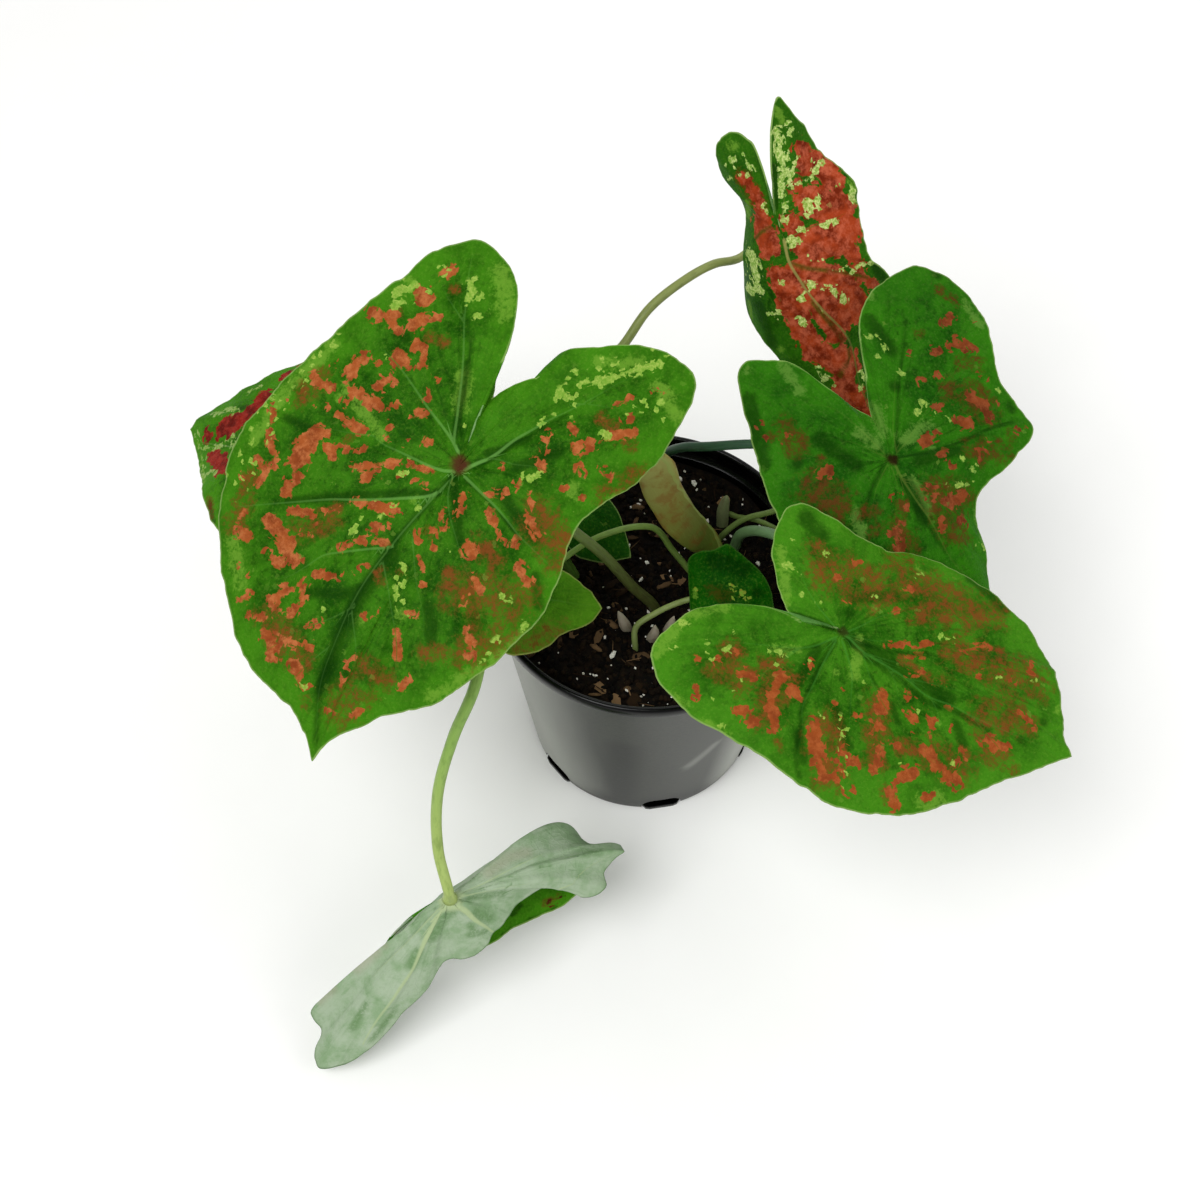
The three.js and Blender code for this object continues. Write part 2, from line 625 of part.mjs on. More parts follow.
// A blade as two matching skins, split into triangles alike, with ribs raised below and grooved above.
function bladeSolid(leaf) {
  const rays = bladeRays(leaf);
  const count = rays.length;
  const longest = Math.max(...leaf.rim.map((point) => vector(point).length()));
  const rings = THREE.MathUtils.clamp(Math.round(longest / RING_SPACING), FEWEST_RINGS, MOST_RINGS);
  const grid = [];
  for (let ring = 1; ring <= rings; ring++) grid.push(rays.map((ray) => rayPoint(ray, ring / rings)));
  const middle = [new THREE.Vector3(), ...grid.flat()];
  const faces = [];
  const at = (ring, ray) => 1 + ring * count + (ray % count);
  for (let ray = 0; ray < count; ray++) {
    faces.push([0, at(0, ray), at(0, ray + 1)]);
    for (let ring = 0; ring + 1 < rings; ring++) {
      faces.push([at(ring, ray), at(ring + 1, ray), at(ring + 1, ray + 1)]);
      faces.push([at(ring, ray), at(ring + 1, ray + 1), at(ring, ray + 1)]);
    }
  }
  const normals = middle.map(() => new THREE.Vector3());
  for (const [a, b, c] of faces) {
    const across = middle[b].clone().sub(middle[a]).cross(middle[c].clone().sub(middle[a]));
    for (const corner of [a, b, c]) normals[corner].add(across);
  }
  normals[0].set(0, 0, 1);
  normals.forEach((normal) => normal.normalize());
  const ribAt = (index) => {
    if (index === 0) return 1;
    const ring = Math.floor((index - 1) / count);
    return rays[(index - 1) % count].isRib ? 1 - (ring + 1) / rings : 0;
  };
  const half = BLADE_THICKNESS / 2;
  const skin = (height) => middle.map((point, i) => point.clone().addScaledVector(normals[i], height(i)));
  const upper = skin((i) => half - RIB_GROOVE * ribAt(i));
  const lower = skin((i) => -half - RIB_RAISE * ribAt(i));
  const size = middle.length;
  const solid = faces.flatMap(([a, b, c]) => [[a, b, c], [c + size, b + size, a + size]]);
  for (let ray = 0; ray < count; ray++) {
    const [a, b] = [at(rings - 1, ray), at(rings - 1, ray + 1)];
    solid.push([a, a + size, b + size], [a, b + size, b]);
  }
  const { x, y, z } = bladeAxes(leaf.turn);
  const place = new THREE.Matrix4().makeBasis(x, y, z).setPosition(...leaf.hub);
  return indexed([...upper, ...lower].map((point) => point.toArray()), solid).applyMatrix4(place);
}

// ---------------------------------------------------------------- the plant

const plant = new THREE.Group();
plant.name = "potted_caladium";

function addPiece(name, geometry, look) {
  const mesh = new THREE.Mesh(geometry, new THREE.MeshStandardMaterial(LOOKS[look]));
  mesh.name = name;
  plant.add(mesh);
}

const holes = [];
const stems = [];
const tuberClear = tuberSolid(GAP);

for (const [name, leaf] of Object.entries(LEAVES)) {
  addPiece(`leaf_${name}`, bladeSolid(leaf), LEAF_LOOK[name] ?? "leaf");
  addPiece(`petiole_${name}`, toGeometry(toManifold(petioleTube(leaf, 0)).subtract(tuberClear)), "petiole");
  holes.push(toManifold(petioleTube(leaf, GAP)));
  stems.push([leaf.stem[0][0], leaf.stem[0][1], leaf.radius[0]]);
}

for (const [name, sprout] of Object.entries(SPROUTS)) {
  const look = name === "furled_leaf" ? "petiole" : "sprout";
  addPiece(name, toGeometry(toManifold(sproutTube(sprout, 0)).subtract(tuberClear)), look);
  holes.push(toManifold(sproutTube(sprout, GAP)));
  stems.push([sprout.path[0][0], sprout.path[0][1], sprout.radius[0] * sprout.flat]);
}

addPiece("pot", buildPot(), "pot");
addPiece("tuber", toGeometry(tuberSolid(0)), "tuber");
addPiece("soil", toGeometry(buildSoil(holes, stems)), "soil");

export default plant;
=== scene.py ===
"""A caladium in its nursery pot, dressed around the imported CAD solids: fine blades with ribs, veins and
blotches, stalks, sprouts, peat mix and pot, on a pale floor in soft studio light, with a camera. Lengths are
millimetres in the part's frame, which has its origin at the centre of the pot's underside."""

import math
import random

import bmesh
import bpy
import numpy as np
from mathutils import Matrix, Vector, noise


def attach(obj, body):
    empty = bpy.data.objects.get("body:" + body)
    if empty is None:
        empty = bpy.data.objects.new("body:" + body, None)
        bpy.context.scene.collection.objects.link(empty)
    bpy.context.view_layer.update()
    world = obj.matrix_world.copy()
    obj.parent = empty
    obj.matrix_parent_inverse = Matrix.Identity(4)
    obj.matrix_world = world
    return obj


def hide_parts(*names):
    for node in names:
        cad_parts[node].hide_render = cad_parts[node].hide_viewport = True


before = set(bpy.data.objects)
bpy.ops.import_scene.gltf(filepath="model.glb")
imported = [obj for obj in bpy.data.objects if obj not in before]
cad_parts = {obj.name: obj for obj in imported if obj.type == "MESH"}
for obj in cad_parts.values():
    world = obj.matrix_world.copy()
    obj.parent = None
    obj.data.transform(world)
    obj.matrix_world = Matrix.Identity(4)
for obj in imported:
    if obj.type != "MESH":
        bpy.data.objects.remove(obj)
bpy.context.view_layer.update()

MM = 0.001

# Camera, floor and light. A softbox has a place, a width and a power in watts.
CAMERA_PLACE = (0, -314.95, 605.98)
CAMERA_TARGET = (-15.04, -9.89, 93.85)
CAMERA_FOV_DEG = 36
FLOOR_SIZE = 6000
FLOOR_TILES = 24
LIGHT_TARGET = (0, 0, 90)
DOME_LIGHT = 0.5
SOFTBOXES = {
    "key_softbox": ((-420, -520, 1250), 700, 11.0),
    "fill_softbox": ((900, -300, 800), 700, 3.2),
    "back_softbox": ((200, 800, 900), 700, 2.6),
}

# Blades: rays run from the hub to the margin, with rings across them. Inside each share of a ray in
# COARSE_SHARES, only one ray in so many is used.
RAY_GROUP = 8
RAY_REACH = 9
RING_STEP = 1.15
LEAST_RINGS = 8
COARSE_SHARES = ((0.1, 8), (0.22, 4), (0.45, 2))
BLADE_THICKNESS = 0.8
MARGIN_THICKNESS = 0.45
MARGIN_BAND = 8
MARGIN_NOISE = 0.9
RIPPLE_HEIGHT = 0.3
FAN_RADIUS = 14
FAN_STRETCH = 6
VEIN_STEPS = 4
VEIN_TAPER = 0.65
VALLEY_DEPTH = 0.55
VALLEY_WIDTH = 2.2
RIDGE_HEIGHT = 1.2
RIDGE_SPREAD = 0.7
PUFF_HEIGHT = 0.5
PUFF_WIDTH = 5
LUMP_HEIGHT = 0.8
LUMP_SCALE = 0.05
RIB_REACH = 0.95
RIB_STEPS = 6
RIB_HALF_WIDTH = 0.4

# Fields of marks and veins: the value far outside a crisp stroke, the reach of a soft one in its half widths,
# and the distance and half width given where there is no vein.
CRISP_FLOOR = -6.0
SOFT_REACH = 1.35
NO_VEIN = 99.0
NO_VEIN_WIDTH = 0.1

# Stalks and shoots. The neck is the last length of a stalk, square to its blade. The noise of their skin is
# wrapped round a circle of radius SKIN_WRAP.
STEM_ROOT_Z = 52
STEM_ROOT_PULL = 0.72
STALK_NECK = 6.5
STALK_END = 0.5
STALK_STEP = 1.6
STALK_SIDES = 20
FLARE_LENGTH = 4.5
FLARE_SHARE = 0.45
SHOOT_FACING = (0, -0.5, 0.85)
SHOOT_STEP = 1.0
SHOOT_LEAST_RADIUS = 0.12
SHOOT_TIP_LENGTH = 1.6
SPAN_STEPS = 60
SKIN_BUMP = 0.03
SKIN_WRAP = 4
NO_LAP = 9.0

# Peat mix
SOIL_LEVEL = 88
SOIL_BANK = 4
SOIL_BANK_START = 16
SOIL_RADIUS = 47.6
SOIL_FOOT_RADIUS = 38.1
SOIL_BOTTOM = 2.6
SOIL_ROUGHNESS = 1.1
BED_SIDES = 150
BED_RINGS = 56

# Lumps on the peat mix, in the order they are drawn: their number, the limits of the size, those of the
# stretch along each axis, how far they stand up, the limits of the tint, and the number of the material.
SOIL_LUMPS = (
    (1700, (0.35, 1.3), ((0.8, 1.5), (0.7, 1.1), (0.5, 0.9)), 0.25, (0.0, 0.7), 0),
    (70, (1.0, 2.4), ((1.1, 1.9), (0.4, 0.8), (0.2, 0.4)), 0.6, (0.6, 1.5), 0),
    (90, (1.5, 3.4), ((0.9, 1.4), (0.04, 0.08), (0.04, 0.08)), 5.0, (0.6, 1.7), 0),
    (40, (1.2, 3.4), ((0.9, 1.5), (0.5, 0.9), (0.08, 0.18)), 1.2, (0.9, 1.7), 2),
    (140, (0.25, 0.6), ((0.7, 1.4), (0.7, 1.1), (0.6, 1.0)), 0.6, (1.0, 1.0), 1),
    (36, (0.6, 1.2), ((0.9, 1.9), (0.6, 1.0), (0.4, 0.8)), 0.8, (1.0, 1.0), 1),
)

# Pot
POT_HEIGHT = 100
POT_RIM_RADIUS = 53
POT_NECK_RADIUS = 50.6
POT_HEEL_RADIUS = 39.8
POT_FOOT_RADIUS = 37.6
POT_WALL = 1.5
POT_FLOOR = 2.2
POT_SIDES = 192
POT_SHARP_DEG = 35
LIP_FOOT = 95.8
LIP_INNER_FOOT = 93.5
LIP_ROUND = 1.1
DRAIN_COUNT = 6
DRAIN_WIDTH = 14.6
DRAIN_TOP = 7.6
DRAIN_FIRST_DEG = -78
PAD_INNER_RADIUS = 33.6
PAD_RADIUS = 40.3
PAD_HEIGHT = 1.9

# Light and dark zones of the pot, as marks with points round the wall and up it. They are read like those of
# the blades below. Bloom is painted light on the sides of the wall, and shade is painted shade down its
# middle and along its foot. The marks along the lower edge of the lip and along the top of its bead are
# painted highlights, and scuff is a pale scratch.
WALL_MEAN_RADIUS = 44.7
WALL_MARKS = {
    "bloom": "26: -124 92 -120 50 -114 12; 14: -22 84 -24 40 -26 8",
    "shade": "6: -77 8 -76 60; 9: -80 3 -50 2; 3: -112 1 -48 1",
    "lip_highlight": "6: -108 96 -94 96",
    "bead": "9: -124 100 -60 100",
    "scuff": "2.4: -53 38 -44 50",
}

# The blades and stalks, by the same numbers as the CAD solids that they replace. Semicolons part the points.
LEAVES = {
    "left_front": {
        "hub": (-54, -19, 180), "turn": (-116, -25, -5), "bow": 3, "wave": (1.2, 11, 0.4),
        "sinus": 16, "ribs": (0, 4, 6, 10, 21, 25, 26, 27, 29), "radius": (1.9, 1.5),
        "rim": """
        93 -2 -6; 85 1 -4; 73 11 -3; 63 23 -4; 47 32 -5; 31 38 -4; 16 39 -5; 1 37 -4; -19 47 -6; -37 51 -6;
        -51 48 -7; -54 36 -5; -47 21 -2; -40 11 -2; -34 12 -1; -29 6 0; -21 0 0; -27 -2 0; -33 -2 -1;
        -48 -6 -2; -58 -14 -5; -61 -25 -7; -53 -37 -5; -42 -41 -3; -37 -43 -2; -21 -50 -1; 2 -59 -2;
        23 -63 -4; 47 -57 -6; 65 -44 -6; 78 -28 -5; 84 -11 -4
        """,
        "stem": "3 -9 88; -5 -9 102; -14 -8 118; -23 -8 131; -35 -8 148; -47 -11 163",
    },
    "right_front": {
        "hub": (57, -46, 142), "turn": (-26, -12, -2), "bow": 2, "wave": (1, 9, 1.9),
        "sinus": 15, "ribs": (0, 4, 6, 11, 18, 20, 22, 24), "radius": (1.9, 1.5),
        "rim": """
        76 7 -7; 72 11 -5; 68 18 -5; 63 24 -4; 59 30 -4; 47 37 -3; 31 40 -3; 11 39 -2; -2 33 0; -16 31 1;
        -27 31 2; -32 28 2; -30 12 0; -24 4 0; -18 -2 0; -12 -5 0; -23 -6 0; -33 -12 1; -41 -21 0; -44 -38 -3;
        -28 -45 -5; -10 -46 -5; 4 -46 -6; 20 -46 -7; 35 -41 -7; 48 -31 -7; 59 -14 -6; 69 -2 -5
        """,
        "stem": "28 15 88; 30 12 103; 35 8 111; 43 0 118; 51 -16 123; 55 -33 126",
    },
    "right_back": {
        "hub": (72, 10, 150), "turn": (-59, -11, -2), "bow": 2, "wave": (1, 8, 0.7),
        "sinus": 12, "ribs": (0, 2, 4, 8, 14, 16, 18), "radius": (1.7, 1.4),
        "rim": """
        52 13 -27; 36 18 -17; 20 21 -6; 15 36 -3; 7 49 -4; -10 46 -1; -23 51 -1; -37 55 -2; -54 46 -2;
        -54 27 0; -45 15 1; -29 7 1; -15 2 0; -27 -5 0; -43 -13 -1; -49 -25 -3; -37 -31 -4; -16 -36 -6;
        1 -36 -13; 23 -28 -24; 45 -15 -29
        """,
        "stem": "6 26 88; 4 31 104; 4 33 115; 9 30 124; 18 26 131; 32 24 136; 48 22 138; 61 16 139",
    },
    "back": {
        "hub": (37, 85, 166), "turn": (-49, -42, 38), "bow": 1, "wave": (0.8, 9, 1.2),
        "sinus": 11, "ribs": (0, 2, 4, 8, 14, 19, 20), "radius": (1.8, 1.3),
        "rim": """
        71 0 -4; 52 15 -22; 31 23 -16; 20 21 -8; 4 24 -12; -1 26 -14; -14 21 -12; -28 19 -6; -37 17 -2;
        -31 12 2; -18 6 3; -6 1 2; -20 4 3; -29 4 0; -34 -1 -5; -31 -8 -9; -22 -10 -9; -11 -8 -10; 6 -17 -14;
        22 -23 -14; 39 -20 -10; 60 -10 -6
        """,
        "stem": """
        -15 26 88; -18 40 108; -16 57 129; -10 63 136; -3 71 143; 8 80 147; 17 87 147; 26 93 144; 34 98 151
        """,
    },
    "left_back": {
        "hub": (-99, 31, 128), "turn": (163, -27, -5), "bow": 2, "wave": (1, 8, 2.6),
        "sinus": 7, "ribs": (0, 2, 5, 9, 12), "radius": (1.6, 1.3),
        "rim": """
        75 -4 -6; 62 13 -6; 43 35 -6; 20 51 -7; -13 58 -6; -39 47 -4; -40 24 -1; -15 3 0; -29 -10 -1;
        -11 -33 -4; 9 -36 -5; 30 -31 -3; 48 -20 -2; 66 -11 -3
        """,
        "stem": "-26 14 88; -37 14 106; -55 18 118; -74 24 120; -87 29 116",
    },
    "drooping": {
        "hub": (-57.5, -102, 62), "turn": (19.5, 0, 180), "bow": 0, "wave": (0, 1, 0),
        "sinus": 29, "ribs": (0, 12, 19, 32, 37), "radius": (1.9, 1.7),
        "rim": """
        59 -6 16; 55 -5 17; 51 -2 19; 51 2 20; 48 4 20; 42 4 19; 37 0 16; 33 -1 15; 28 -1 15; 20 2 16;
        15 6 16; 11 8 17; 8 11 20; 2 12 22; -6 11 23; -9 12 26; -15 16 31; -22 18 36; -29 21 43; -40 24 50;
        -48 24 54; -54 22 55; -54 17 54; -50 12 51; -52 6 48; -46 4 42; -35 2 32; -21 1 20; -10 -2 10;
        -4 -1 4; -13 -4 20; -24 -3 34; -32 1 46; -24 3 50; -10 -3 46; 9 4 38; 19 1 37; 28 0 36; 36 -1 35;
        41 -3 35; 46 -5 34; 51 -7 29; 55 -9 23; 58 -10 19
        """,
        "fold": """
        46 -8 7; 42 -7 6; 38 -5 5; 35 -3 4; 33 -3 4; 29 -2 4; 24 -1 4; 20 0 4; 16 1 4; 10 2 5; 8 3 2; 5 4 2;
        4 5 4; 1 6 4; -3 5 4; -5 6 6; -7 8 9; -11 9 11; -15 10 14; -20 12 18; -24 12 20; -27 11 20; -27 9 20;
        -25 6 18; -26 3 17; -23 2 14; -17 1 12; -11 0 6; -5 -1 1; -2 -1 -2; -6 -3 3; -17 -7 20; -13 -10 22;
        -4 -16 20; -2 -18 22; 13 -24 22; 22 -27 20; 35 -31 17; 48 -32 13; 64 -41 11; 62 -31 10; 60 -22 10;
        58 -16 10; 54 -12 11
        """,
        "stem": """
        -24 2 88; -32 3 106; -43 -4 124; -47 -24 136; -47 -45 137; -49 -61 129; -56 -71 112; -61 -81 93;
        -61 -92 77
        """,
    },
    "small_right": {
        "hub": (23, -16, 113), "turn": (-75, -18, 14), "bow": 1, "wave": (0.4, 5, 0),
        "sinus": 8, "ribs": (0, 4, 12), "radius": (1.1, 0.9),
        "rim": """
        23 1 -5; 19 9 -4; 13 13 -4; 6 15 -3; -1 14 -2; -7 11 -2; -11 8 -2; -14 5 -1; -13 1 0; -14 -4 -1;
        -12 -8 -2; -8 -9 -2; -2 -10 -3; 5 -11 -3; 12 -10 -3; 19 -6 -4
        """,
        "stem": "-3 -24 88; -3 -20 95; 3 -17 99; 8 -15 101; 14 -13 102",
    },
    "small_left": {
        "hub": (-38, -21, 112), "turn": (-5, 2, 15), "bow": 1, "wave": (0.5, 5, 1),
        "sinus": 7, "ribs": (0, 4, 11), "radius": (1.2, 0.9),
        "rim": """
        24 0 -4; 21 4 -3; 17 7 -2; 12 10 -2; 5 12 -1; -2 12 -1; -9 9 -1; -6 0 0; -14 -4 -1; -10 -14 -3;
        -2 -18 -3; 4 -17 -3; 9 -14 -3; 14 -9 -3; 21 -5 -3
        """,
        "stem": """
        17 1 88; 12 4 95; 7 6 102; 4 7 108; 1 7 112; -5 5 115; -12 2 116; -20 -2 115; -28 -8 112; -34 -16 107
        """,
    },
    "shaded_left": {
        "hub": (-19, 13, 110), "turn": (-45, -10, 14), "bow": 1, "wave": (0.4, 5, 2),
        "sinus": 5, "ribs": (0, 2, 8), "radius": (1, 0.9),
        "rim": "19 0 -3; 12 4 -2; 4 7 -2; -5 7 -2; -10 3 -1; -4 0 0; -9 -3 -1; -4 -9 -2; 5 -13 -2; 14 -8 -3",
        "stem": "-12 8 88; -15 11 98",
    },
    "shaded_right_back": {
        "hub": (58, 21, 124), "turn": (-20, -14, 13), "bow": 1, "wave": (0.5, 5, 1),
        "sinus": 5, "ribs": (0, 2, 8), "radius": (1.1, 0.9),
        "rim": """
        25 2 -4; 16 8 -2; 7 12 -2; -3 11 -1; -9 6 -1; -5 0 0; -11 -4 -1; -5 -10 -2; 6 -13 -3; 16 -7 -3
        """,
        "stem": "22 17 88; 30 19 100; 40 18 108; 49 20 114",
    },
    "shaded_right_front": {
        "hub": (52, 2, 112), "turn": (-37, -13, 8), "bow": 1, "wave": (0.4, 5, 0),
        "sinus": 5, "ribs": (0, 2, 8), "radius": (1, 0.8),
        "rim": "23 1 -3; 16 7 -2; 7 10 -2; -2 8 -1; -5 3 -1; -4 -1 0; -5 -4 -1; 1 -8 -2; 9 -9 -2; 18 -6 -3",
        "stem": "25 29 88; 29 25 93; 35 20 99; 41 15 102; 47 9 104",
    },
}
